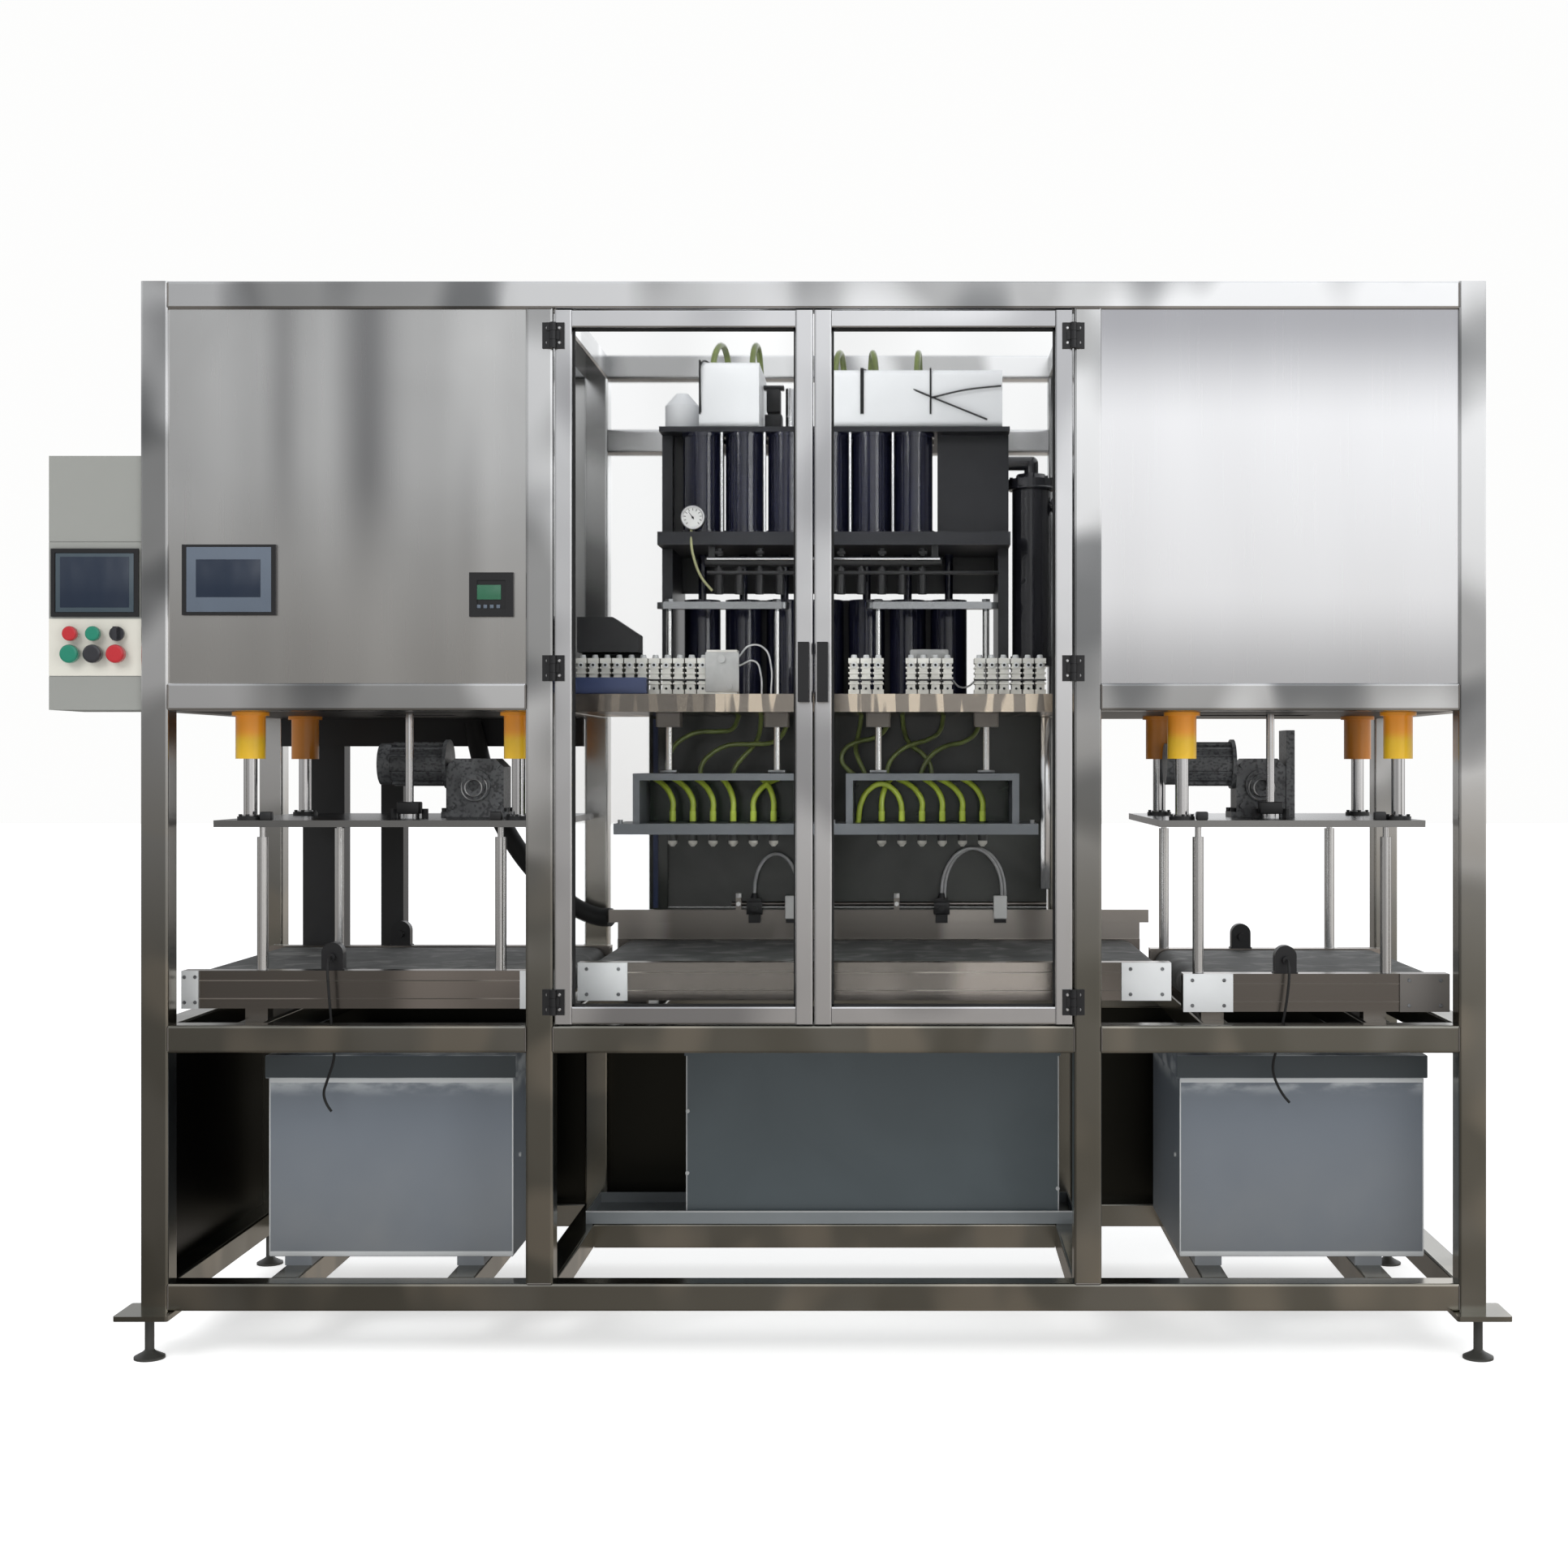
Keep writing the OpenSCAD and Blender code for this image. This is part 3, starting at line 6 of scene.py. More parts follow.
import bmesh
import bpy
from bpy.props import FloatProperty, FloatVectorProperty, PointerProperty
from mathutils import Matrix, Vector


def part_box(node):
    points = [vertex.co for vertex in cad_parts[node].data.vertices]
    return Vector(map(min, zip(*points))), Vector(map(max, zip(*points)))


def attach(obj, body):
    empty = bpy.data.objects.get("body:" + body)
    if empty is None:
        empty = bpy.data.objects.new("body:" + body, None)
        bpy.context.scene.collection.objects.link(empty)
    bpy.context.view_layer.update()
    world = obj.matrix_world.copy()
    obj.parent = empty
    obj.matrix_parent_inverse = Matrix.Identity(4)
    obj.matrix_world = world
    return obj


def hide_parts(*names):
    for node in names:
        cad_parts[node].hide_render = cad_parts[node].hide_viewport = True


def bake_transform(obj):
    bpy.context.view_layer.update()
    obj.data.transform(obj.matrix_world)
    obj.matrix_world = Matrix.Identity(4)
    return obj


bl_info = {
    "name": "Battery Acid Filling Machine",
    "version": (1, 0, 0),
    "blender": (4, 5, 0),
    "location": "View3D > Sidebar > Filling Machine",
    "description": "Finishes and fine pieces of a battery acid filling machine",
    "category": "Object",
}

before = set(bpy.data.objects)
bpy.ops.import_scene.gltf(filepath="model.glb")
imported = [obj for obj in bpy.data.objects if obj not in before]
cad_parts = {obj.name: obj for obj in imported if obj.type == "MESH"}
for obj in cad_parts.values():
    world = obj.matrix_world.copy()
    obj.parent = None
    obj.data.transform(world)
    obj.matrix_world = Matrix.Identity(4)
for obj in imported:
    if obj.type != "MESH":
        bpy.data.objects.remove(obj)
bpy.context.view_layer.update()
BEAMS_LOW, BEAMS_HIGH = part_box("long_beams")
MIDDLE_X = (BEAMS_LOW[0] + BEAMS_HIGH[0]) / 2
FRONT_Y = BEAMS_LOW[1]
MM = 0.001
SIDES = ("left", "right")


def at(x, depth, z):
    """Point from millimetres: X from the frame's middle, depth behind its front face, height over the floor."""
    return Vector((MIDDLE_X + x * MM, FRONT_Y + depth * MM, z * MM))


# Properties


def colour(name, description, default):
    return FloatVectorProperty(name=name, description=description, subtype="COLOR", size=3, default=default)


def length(name, description, default):
    return FloatProperty(name=name, description=description, default=default, unit="LENGTH")


class MACHINE_PG_metal(bpy.types.PropertyGroup):
    tube: colour("Tube", "Colour of the polished frame tube", (0.52, 0.52, 0.515))
    sheet: colour("Sheet", "Colour of the stainless sheets", (0.80, 0.80, 0.79))
    beam: colour("Beam", "Colour of the conveyor beams", (0.24, 0.22, 0.20))
    chrome: colour("Chrome", "Colour of the guide rods", (0.90, 0.90, 0.91))
    weld: length("Weld", "Radius of the weld beads", 0.0017)


class MACHINE_PG_plastic(bpy.types.PropertyGroup):
    tank: colour("Tank", "Colour of the welded tanks", (0.128, 0.146, 0.170))
    sleeve: colour("Sleeve", "Colour of the guide sleeves", (0.70, 0.42, 0.015))
    hose: colour("Hose", "Colour of the filling hoses", (0.50, 0.62, 0.07))
    cabinet: colour("Cabinet", "Colour of the control cabinet", (0.225, 0.228, 0.212))
    screw: length("Screw", "Diameter of a hinge screw's head", 0.0085)


class MACHINE_PG_view(bpy.types.PropertyGroup):
    distance: length("Distance", "Distance of the camera in front of the frame", 4.6)
    height: length("Height", "Height of the camera over the floor", 1.295)
    offset: length("Offset", "Distance of the camera right of the frame's middle", 0.207)
    width: length("Width", "Width of the picture on the frame's front face", 3.4)


# Shader nodes


def fill(node, values):
    """Sets the sockets of a node by their labels."""
    for label, value in values.items():
        node.inputs[label].default_value = value


def add_node(tree, kind, values=None, links=None, **settings):
    """A shader node with its settings, the values of its sockets and the outputs that feed them."""
    node = tree.nodes.new("ShaderNode" + kind)
    for name, setting in settings.items():
        setattr(node, name, setting)
    fill(node, values or {})
    for label, source in (links or {}).items():
        tree.links.new(source, node.inputs[label])
    return node


def add_noise(tree, vector, scale, detail):
    return add_node(tree, "TexNoise", {"Scale": scale, "Detail": detail}, {"Vector": vector}).outputs["Fac"]


def map_range(tree, value, low, high, start=0.0, end=1.0, **settings):
    """Takes a value from the range low to high into the range start to end."""
    spans = {"From Min": low, "From Max": high, "To Min": start, "To Max": end}
    return add_node(tree, "MapRange", spans, {"Value": value}, **settings).outputs["Result"]


def multiply(tree, first, second, **settings):
    """Product of two masks or numbers."""
    node = add_node(tree, "Math", operation="MULTIPLY", **settings)
    for place, factor in enumerate((first, second)):
        if isinstance(factor, float):
            node.inputs[place].default_value = factor
        else:
            tree.links.new(factor, node.inputs[place])
    return node.outputs["Value"]


def new_group(name, inputs, output):
    """An empty effect group that takes a Vector and the given numbers and gives one mask."""
    group = bpy.data.node_groups.new(name, "ShaderNodeTree")
    group.interface.new_socket(name="Vector", in_out="INPUT", socket_type="NodeSocketVector")
    for label, value in inputs.items():
        kind = "NodeSocketFloat" if isinstance(value, float) else "NodeSocketVector"
        group.interface.new_socket(name=label, in_out="INPUT", socket_type=kind).default_value = value
    group.interface.new_socket(name=output, in_out="OUTPUT", socket_type="NodeSocketFloat")
    return group, group.nodes.new("NodeGroupInput").outputs, group.nodes.new("NodeGroupOutput").inputs[output]


def stretched_noise(name, detail):
    """Noise of the coordinates multiplied by Stretch."""
    group, enter, leave = new_group(name, {"Stretch": (1.0, 1.0, 1.0)}, "Grain")
    scaled = add_node(group, "VectorMath", links={0: enter["Vector"], 1: enter["Stretch"]}, operation="MULTIPLY")
    group.links.new(add_noise(group, scaled.outputs[0], 1.0, detail), leave)
    return group


def uneven_tone(name):
    """Soft blotches between Low and High, for uneven colour and handling marks."""
    group, enter, leave = new_group(name, {"Scale": 3.0, "Low": 0.8, "High": 1.0}, "Tone")
    noise = add_node(group, "TexNoise", {"Detail": 3.0, "Distortion": 0.6},
                     {"Vector": enter["Vector"], "Scale": enter["Scale"]})
    spread = add_node(group, "MapRange", {"From Min": 0.3, "From Max": 0.7},
                      {"Value": noise.outputs["Fac"], "To Min": enter["Low"], "To Max": enter["High"]})
    group.links.new(spread.outputs["Result"], leave)
    return group


def low_dust(name):
    """Mask of dust and stains that gathers from Top down to the floor."""
    group, enter, leave = new_group(name, {"Top": 1.0}, "Dust")
    split = add_node(group, "SeparateXYZ", links={"Vector": enter["Vector"]})
    fall = add_node(group, "MapRange", {"From Min": 0.0, "To Min": 1.0, "To Max": 0.0},
                    {"Value": split.outputs["Z"], "From Max": enter["Top"]})
    noise = add_noise(group, enter["Vector"], 7.0, 6.0)
    group.links.new(multiply(group, fall.outputs["Result"], noise, use_clamp=True), leave)
    return group


# Scratches run along the axis with the smallest number in Stretch; wide zones are dents and mirrored things
EFFECTS = {
    "Brushed grain": (stretched_noise, 5.0), "Wide zones": (stretched_noise, 0.6),
    "Uneven tone": (uneven_tone,), "Low dust": (low_dust,),
}
GROUPS = {}


# Finishes

# Stretch of the grain, as scratches to a metre along each axis
ALONG_X = (6.0, 900.0, 900.0)
ALONG_Y = (900.0, 6.0, 900.0)
ALONG_Z = (900.0, 900.0, 6.0)
FINE = (420.0, 420.0, 420.0)
SMOOTHEST = 0.02


class Finish:
    """One Principled material on object coordinates; its colour, gloss and relief are laid on in steps."""

    def __init__(self, name, base, roughness, metallic=0.0, coat=0.0):
        self.name = name
        self.material = bpy.data.materials.new(name)
        self.material.use_nodes = True
        self.tree = self.material.node_tree
        self.shader = self.tree.nodes["Principled BSDF"]
        self.base = base
        self.roughness = roughness
        self.coordinates = add_node(self.tree, "TexCoord").outputs["Object"]
        fill(self.shader, {"Base Color": (*base, 1.0), "Roughness": roughness, "Metallic": metallic,
                           "Coat Weight": coat})
        self.colour = None
        self.normal = None

    # Masks

    def effect(self, name, **values):
        """Mask from a shared effect group, with this finish's own values."""
        if name not in GROUPS:
            build, *detail = EFFECTS[name]
            GROUPS[name] = build(name, *detail)
        links = {"Vector": self.coordinates}
        return add_node(self.tree, "Group", values, links, node_tree=GROUPS[name]).outputs[0]

    def along(self, axis):
        """The object coordinate along one axis."""
        return add_node(self.tree, "SeparateXYZ", links={"Vector": self.coordinates}).outputs[axis]

    def within(self, axis, low, high):
        """Mask of the band between two places on an axis."""
        span = {1: (low + high) / 2, 2: (high - low) / 2}
        return add_node(self.tree, "Math", span, {0: self.along(axis)}, operation="COMPARE").outputs["Value"]

    def ramp(self, value, low, high):
        """Mask that rises smoothly while a value goes from low to high."""
        return map_range(self.tree, value, low, high, interpolation_type="SMOOTHSTEP")

    def times(self, first, second):
        return multiply(self.tree, first, second)

    # Colour

    def mix(self, mask, tint):
        """Lays a tint over the colour by a mask."""
        node = add_node(self.tree, "Mix", {"B": (*tint, 1.0)}, {"Factor": mask}, data_type="RGBA")
        if self.colour is None:
            node.inputs["A"].default_value = (*self.base, 1.0)
        else:
            self.tree.links.new(self.colour, node.inputs["A"])
        self.colour = node.outputs["Result"]
        self.tree.links.new(self.colour, self.shader.inputs["Base Color"])
        return self

    def tone(self, scale, depth):
        """Darkens the colour in soft blotches, by at most depth."""
        mask = self.effect("Uneven tone", Scale=scale, Low=0.0, High=1.0)
        return self.mix(mask, [c * (1 - depth) for c in self.base])

    def dust(self, top, tint):
        return self.mix(self.effect("Low dust", Top=top), tint)

    def band(self, axis, low, high, tint):
        """Lays a tint over the band between two places on an object axis."""
        return self.mix(self.within(axis, low, high), tint)

    def fade(self, axis, low, high, tint):
        """Fades a tint in from low to high on an object axis."""
        return self.mix(self.ramp(self.along(axis), low, high), tint)

    def zones(self, stretch, low, high, tint, share=1.0):
        """Lays a tint in wide zones, as a polished face mirrors dark and bright things round it."""
        noise = self.effect("Wide zones", Stretch=stretch)
        return self.mix(self.times(self.ramp(noise, low, high), share), tint)

    def rim(self, low, high, tint):
        """Darkens a round bar towards its edges, as chrome mirrors the dark hall beside it."""
        edge = add_node(self.tree, "LayerWeight", {"Blend": 0.5}).outputs["Facing"]
        return self.mix(self.ramp(edge, low, high), tint)

    # Gloss and relief

    def grain(self, stretch, spread, bump):
        """Scratches in the gloss, spread about the roughness, with a shallow relief."""
        value = self.effect("Brushed grain", Stretch=stretch)
        gloss = map_range(self.tree, value, 0.0, 1.0, max(self.roughness - spread, SMOOTHEST),
                          self.roughness + spread)
        self.tree.links.new(gloss, self.shader.inputs["Roughness"])
        return self.relief(value, bump)

    def relief(self, value, distance, strength=0.6):
        """Lays a relief of the given height in metres over the one that is there."""
        links = {"Height": value}
        if self.normal is not None:
            links["Normal"] = self.normal
        bump = add_node(self.tree, "Bump", {"Distance": distance, "Strength": strength}, links)
        self.normal = bump.outputs["Normal"]
        self.tree.links.new(self.normal, self.shader.inputs["Normal"])
        return self

    def waves(self, stretch, distance):
        """Wide dents, stretched by the given numbers, as in a thin sheet."""
        return self.relief(self.effect("Wide zones", Stretch=stretch), distance, 1.0)


def steel(name, base, roughness, stretch, spread=0.07, bump=0.00004):
    """Brushed metal with its grain stretched along one axis."""
    return Finish(name, base, roughness, metallic=1.0).tone(2.2, 0.14).grain(stretch, spread, bump)


def plastic(name, base, roughness, depth=0.12, scale=6.0, coat=0.0):
    """Plastic, paint or rubber with an uneven tone, darker by at most depth."""
    return Finish(name, base, roughness, coat=coat).tone(scale, depth).grain(FINE, 0.06, 0.00006)


# Painted dark reflection towards faces seen edge-on: facing where it starts and is full, and its tint.
CHROME_RIM = (0.40, 0.80, (0.07, 0.07, 0.075))


def tube_finish(name, base, roughness, stretch, wide, brown_reflection_top):
    """Polished tube with painted reflections: dark and bright zones, and an olive brown painted reflection with warm
    painted glints towards the floor.
    """
    finish = steel(name, base, roughness, stretch, 0.035, 0.000012)
    finish.zones(wide, 0.46, 0.58, (0.95, 0.95, 0.95), 0.8)
    finish.zones(tuple(w * 1.31 for w in wide), 0.50, 0.64, (0.16, 0.165, 0.17), 0.75)
    # Painted reflection: olive brown from the given height down to the floor, with warm painted glints over it.
    low = finish.ramp(finish.along("Z"), brown_reflection_top, brown_reflection_top - 0.75)
    finish.mix(finish.times(low, 0.85), (0.235, 0.225, 0.185))
    glint = finish.ramp(finish.effect("Wide zones", Stretch=tuple(w * 1.9 for w in wide)), 0.50, 0.66)
    return finish.mix(finish.times(finish.times(low, 0.7), glint), (0.46, 0.42, 0.35))


# Tall dark painted reflections in the dents of the left sheet: edges on X, heights where the tint starts and is full,
# share of the tint
DENT_REFLECTIONS = ((-1.00, -0.78, 1.50, 1.95, 0.85), (-1.13, -1.02, 1.60, 2.05, 0.45), (-0.72, -0.62, 2.20, 1.70, 0.35))


def panel_finish(name, base):
    """Thin stainless sheets with painted reflections: tall dark ones in the dents of the left sheet, a warm darker
    one towards their lower edges, and a pale one on the right sheet with darker bands at its top and towards its
    foot.
    """
    finish = steel(name, base, 0.28, (240.0, 240.0, 3.0), 0.02, 0.000003)
    finish.waves((4.6, 4.6, 0.9), 0.008)
    height, across = finish.along("Z"), finish.along("X")
    for low, high, start, full, share in DENT_REFLECTIONS:
        middle = (low + high) / 2
        dent_reflection = finish.times(finish.ramp(across, low, middle), finish.ramp(across, high, middle))
        dent_reflection = finish.times(finish.times(dent_reflection, finish.ramp(height, start, full)), share)
        finish.mix(dent_reflection, (0.24, 0.24, 0.245))
    # Painted reflection: warm and darker towards the lower edges of the sheets.
    finish.mix(finish.times(finish.ramp(height, 2.0, 1.47), 0.75), (0.46, 0.44, 0.41))
    # Painted reflections on the right sheet: pale over all of it, darker at its top and towards its foot.
    right = finish.within("X", 0.3, 3.0)
    finish.mix(right, (0.97, 0.97, 0.98))
    finish.mix(finish.times(right, finish.ramp(height, 2.02, 2.27)), (0.44, 0.44, 0.46))
    return finish.mix(finish.times(right, finish.ramp(height, 1.68, 1.46)), (0.62, 0.62, 0.63))


def back_finish(name, base):
    """Stainless above the middle beams and, on the sheets below them, a near black that is painted shade of the dark
    lower bays.
    """
    return steel(name, base, 0.32, ALONG_Z, 0.05, 0.00002).band("Z", -1.0, 1.0, (0.030, 0.029, 0.024))


def split_finish(name, low_colour, high_colour, level, roughness):
    """Bright metal under a level and painted metal over it, for pieces of one node, with a painted dark reflection on
    faces seen edge-on that also darkens the press plate's top face.
    """
    finish = steel(name, high_colour, roughness, ALONG_X, 0.03, 0.000006)
    return finish.band("Z", -1.0, level, low_colour).rim(*CHROME_RIM)


def nozzle_finish(name, hose_colour):
    """Green hose end over the head's base, dark union and pale tip under it."""
    finish = plastic(name, (0.60, 0.58, 0.52), 0.4, 0.3, 60.0)
    return finish.band("Z", 1.110, 1.1295, (0.05, 0.05, 0.048)).band("Z", 1.1295, 2.0, hose_colour)


def tank_finish(name, base):
    """Welded sheet with a pale smear under its lid."""
    finish = plastic(name, base, 0.42, 0.12, 2.2).dust(0.5, (0.22, 0.22, 0.21))
    smear = finish.effect("Brushed grain", Stretch=(9.0, 9.0, 22.0))
    top = finish.times(finish.ramp(finish.along("Z"), 0.54, 0.582), finish.ramp(smear, 0.40, 0.62))
    return finish.mix(top, (0.34, 0.36, 0.37))


def table_finish(name):
    """Polished steel edge that mirrors pale crates in blocks along the table."""
    finish = steel(name, (0.36, 0.32, 0.28), 0.2, ALONG_X, 0.03, 0.00001)
    finish.zones((46.0, 1.0, 5.0), 0.50, 0.58, (0.84, 0.72, 0.58))
    return finish.zones((3.1, 1.0, 1.0), 0.52, 0.56, (0.20, 0.18, 0.16), 0.8)


def belt_finish(name):
    """Belt surface with ribs that run along the conveyor and pale wear."""
    finish = plastic(name, (0.115, 0.118, 0.115), 0.62, 0.5, 9.0)
    finish.relief(finish.effect("Brushed grain", Stretch=(3.0, 140.0, 3.0)), 0.002, 0.9)
    return finish.mix(finish.effect("Uneven tone", Scale=14.0, Low=-0.5, High=0.45), (0.36, 0.36, 0.34))


def pane_finish(name):
    """Clear sheet, seen mostly by its edges."""
    finish = Finish(name, (0.97, 0.99, 0.985), 0.03)
    fill(finish.shader, {"Transmission Weight": 1.0, "IOR": 1.02, "Alpha": 0.22})
    return finish


# Metals of one tone: colour, roughness, stretch of the grain, spread of the gloss, height of the grain
STEELS = {
    "roller steel": ((0.55, 0.55, 0.55), 0.2, ALONG_Y),
    "bright screw": ((0.82, 0.82, 0.82), 0.3, FINE),
    "weld bead": ((0.33, 0.31, 0.29), 0.42, FINE, 0.1, 0.0004),
    "yoke steel": ((0.34, 0.35, 0.36), 0.36, ALONG_X),
}
# Plastics and paints of one tone: colour, roughness, depth of the blotches, their scale, clear coat
PLASTICS = {
    "head grey": ((0.13, 0.14, 0.15), 0.45, 0.2),
    "tray grey": ((0.22, 0.24, 0.25), 0.4, 0.2, 3.0),
    "tank dark": ((0.085, 0.105, 0.115), 0.36, 0.16, 3.0),
    "tank seam": ((0.46, 0.47, 0.47), 0.5),
    "tank lid": ((0.036, 0.045, 0.050), 0.4, 0.15, 3.0),
    "dark paint": ((0.018, 0.018, 0.019), 0.42, 0.3),
    "tower paint": ((0.020, 0.021, 0.026), 0.38, 0.3),
    "black plastic": ((0.010, 0.010, 0.011), 0.35, 0.2),
    "rubber black": ((0.012, 0.012, 0.012), 0.6, 0.3),
    "doser navy": ((0.009, 0.010, 0.026), 0.16, 0.3, 5.0, 0.6),
    "filter black": ((0.014, 0.014, 0.018), 0.2, 0.3, 5.0, 0.5),
    "splash black": ((0.052, 0.056, 0.050), 0.2, 0.7, 2.6),
    "green back": ((0.010, 0.030, 0.010), 0.2, 0.6, 9.0),
    "blue sheet": ((0.035, 0.05, 0.12), 0.45, 0.3),
    "hose olive": ((0.20, 0.25, 0.075), 0.3, 0.5, 20.0, 0.3),
    "tube amber": ((0.42, 0.42, 0.22), 0.3, 0.3, 20.0),
    "conduit grey": ((0.50, 0.50, 0.50), 0.3, 0.3, 30.0),
    "block grey": ((0.42, 0.42, 0.41), 0.42, 0.25, 20.0),
    "bearing grey": ((0.17, 0.15, 0.13), 0.42, 0.25),
    "foot iron": ((0.05, 0.05, 0.045), 0.4, 0.3),
    "valve white": ((0.66, 0.65, 0.60), 0.45, 0.22, 20.0),
    "white plastic": ((0.75, 0.75, 0.73), 0.4, 0.08),
    "header white": ((0.92, 0.93, 0.94), 0.4, 0.08),
    "screen grey": ((0.085, 0.105, 0.135), 0.3),
    "screen dark": ((0.016, 0.023, 0.038), 0.12, 0.1),
    "cabinet screen": ((0.045, 0.062, 0.075), 0.12, 0.1),
    "lcd green": ((0.028, 0.105, 0.060), 0.2, 0.1),
    "button red": ((0.36, 0.014, 0.020), 0.25, 0.12, 6.0, 0.5),
    "button green": ((0.008, 0.16, 0.10), 0.25, 0.12, 6.0, 0.5),
    "button black": ((0.02, 0.02, 0.024), 0.25, 0.12, 6.0, 0.5),
}


def make_finishes():
    """Every finish of the machine."""
    metal = bpy.context.scene.machine_metal
    resin = bpy.context.scene.machine_plastic
    tube, sheet, beam, chrome = (tuple(c) for c in (metal.tube, metal.sheet, metal.beam, metal.chrome))
    tank, sleeve, hose_colour, cabinet = (tuple(c) for c in (resin.tank, resin.sleeve, resin.hose, resin.cabinet))
    made = [steel(name, *values) for name, values in STEELS.items()]
    made += [plastic(name, *values) for name, values in PLASTICS.items()]
    return made + [
        tube_finish("column steel", tube, 0.20, ALONG_Z, (2.1, 2.1, 2.9), 1.45),
        tube_finish("beam steel", tube, 0.20, ALONG_X, (3.4, 2.1, 1.6), 1.45),
        tube_finish("cross steel", tube, 0.22, ALONG_Y, (2.1, 4.0, 1.6), 1.3),
        panel_finish("panel steel", sheet),
        back_finish("back steel", sheet),
        table_finish("table steel"),
        # Painted reflections: dark zones on the door steel, pale warm zones on the belt beams and the guide bar.
        steel("door steel", (0.86, 0.86, 0.87), 0.22, ALONG_Z, 0.03, 0.00001)
        .zones((2.3, 2.3, 2.6), 0.48, 0.62, (0.42, 0.42, 0.43), 0.8),
        steel("belt beam", beam, 0.22, ALONG_X, 0.03, 0.000008)
        .zones((3.6, 2.0, 1.2), 0.46, 0.60, (0.50, 0.45, 0.41), 0.9),
        steel("guide bar", beam, 0.30, ALONG_X, 0.03, 0.00001)
        .zones((4.6, 2.0, 1.2), 0.46, 0.58, (0.52, 0.48, 0.44), 0.9),
        steel("rod chrome", chrome, 0.12, ALONG_Z, 0.03, 0.000006).rim(*CHROME_RIM),
        split_finish("press plate", (0.88, 0.88, 0.88), (0.36, 0.36, 0.355), 1.1515, 0.22),
        split_finish("head rods", (0.86, 0.86, 0.85), (0.42, 0.43, 0.44), 1.655, 0.2),
        nozzle_finish("nozzle", hose_colour),
        plastic("hose green", hose_colour, 0.25, 0.25, 20.0, 0.4),
        tank_finish("tank grey", tank),
        # The fade on Y is painted shade: the rear sleeves turn a darker brown orange.
        plastic("sleeve yellow", sleeve, 0.33, 0.18, 12.0, 0.3)
        .fade("Z", 1.34, 1.37, (0.68, 0.25, 0.01)).fade("Y", -0.1, 0.1, (0.50, 0.17, 0.01)),
        plastic("cabinet paint", cabinet, 0.5, 0.05, 2.0).band("Z", 1.484, 1.608, (0.50, 0.485, 0.43)),
        plastic("end plate white", (0.62, 0.63, 0.63), 0.42, 0.1).band("X", 1.36, 1.6, (0.12, 0.11, 0.10)),
        plastic("motor grey", (0.17, 0.175, 0.18), 0.4, 0.5, 18.0)
        .zones((150.0, 150.0, 150.0), 0.45, 0.70, (0.04, 0.04, 0.042), 0.8),
        belt_finish("belt"),
        pane_finish("pane"),
    ]


MATERIALS = {}


def material_of(name):
    if not MATERIALS:
        MATERIALS.update({finish.name: finish.material for finish in make_finishes()})
    return MATERIALS[name]


# Nodes of the frame that get each material; {side} stands for left and right
NODES_OF = {
    "column steel": ["columns"], "beam steel": ["long_beams"], "cross steel": ["cross_beams"],
    "foot iron": ["leveling_feet"], "panel steel": ["front_panels"], "back steel": ["rear_panels"],
    "black plastic": ["fixed_hinge_leaves", "operator_screens", "position_sensors", "{side}_door_fittings"],
    "cabinet paint": ["control_cabinet"], "dark paint": ["press_top_plates", "dosing_manifold", "wiring_box"],
    "sleeve yellow": ["guide_sleeves"], "guide bar": ["press_cylinders", "guide_rail"],
    "belt beam": ["conveyor_beams"], "end plate white": ["conveyor_end_plates"], "belt": ["conveyor_belts"],
    "tank grey": ["side_tanks"], "tank dark": ["center_tank"], "tray grey": ["tank_tray"],
    "table steel": ["work_table"], "bearing grey": ["rod_bearings"], "tower paint": ["tower_frame"],
    "doser navy": ["dosing_cylinders"], "header white": ["header_tank"], "filter black": ["acid_filter"],
    "valve white": ["table_valves"], "splash black": ["splash_panel"], "door steel": ["{side}_door_frame"],
    "pane": ["{side}_door_pane"], "head grey": ["{side}_head_box"], "head rods": ["{side}_head_rods"],
    "nozzle": ["{side}_head_nozzles"], "hose green": ["{side}_head_hoses"], "press plate": ["{side}_press_plate"],
    "rod chrome": ["{side}_press_rods"], "motor grey": ["{side}_gear_motor"],
    "roller steel": ["{side}_drive_roller", "middle_drive_roller"],
    "button red": ["red_lamp_button", "red_stop_button"], "button green": ["green_lamp_button", "green_start_button"],
    "button black": ["selector_knob", "black_reset_button"],
}


# Mesh helpers


def add_box(bm, low, high, bevel=0.0):
    """A box between two corners of the scene, with its edges rounded by bevel metres."""
    low, high = Vector(low), Vector(high)
    made = bmesh.ops.create_cube(bm, size=1.0)["verts"]
    bmesh.ops.scale(bm, vec=high - low, verts=made)
    bmesh.ops.translate(bm, vec=(low + high) / 2, verts=made)
    if bevel:
        edges = list({e for v in made for e in v.link_edges})
        bmesh.ops.bevel(bm, geom=edges, offset=bevel, offset_type="OFFSET", segments=2, profile=0.5,
                        affect="EDGES", material=-1, clamp_overlap=True)


def add_block(bm, low, high, bevel=0.0):
    """The same between two corners in the millimetres of at()."""
    add_box(bm, at(*low), at(*high), bevel)


def add_rod(bm, start, end, radius, end_radius=None, sides=20):
    """A round bar between two points of the scene, in metres."""
    start, end = Vector(start), Vector(end)
    run = end - start
    made = bmesh.ops.create_cone(bm, cap_ends=True, segments=sides, radius1=radius,
                                 radius2=radius if end_radius is None else end_radius, depth=run.length)["verts"]
    turn = run.to_track_quat("Z", "Y").to_matrix().to_4x4()
    bmesh.ops.transform(bm, matrix=Matrix.Translation((start + end) / 2) @ turn, verts=made)


def add_bar(bm, start, end, *shape, **options):
    """The same between two points in the millimetres of at()."""
    add_rod(bm, at(*start), at(*end), *shape, **options)


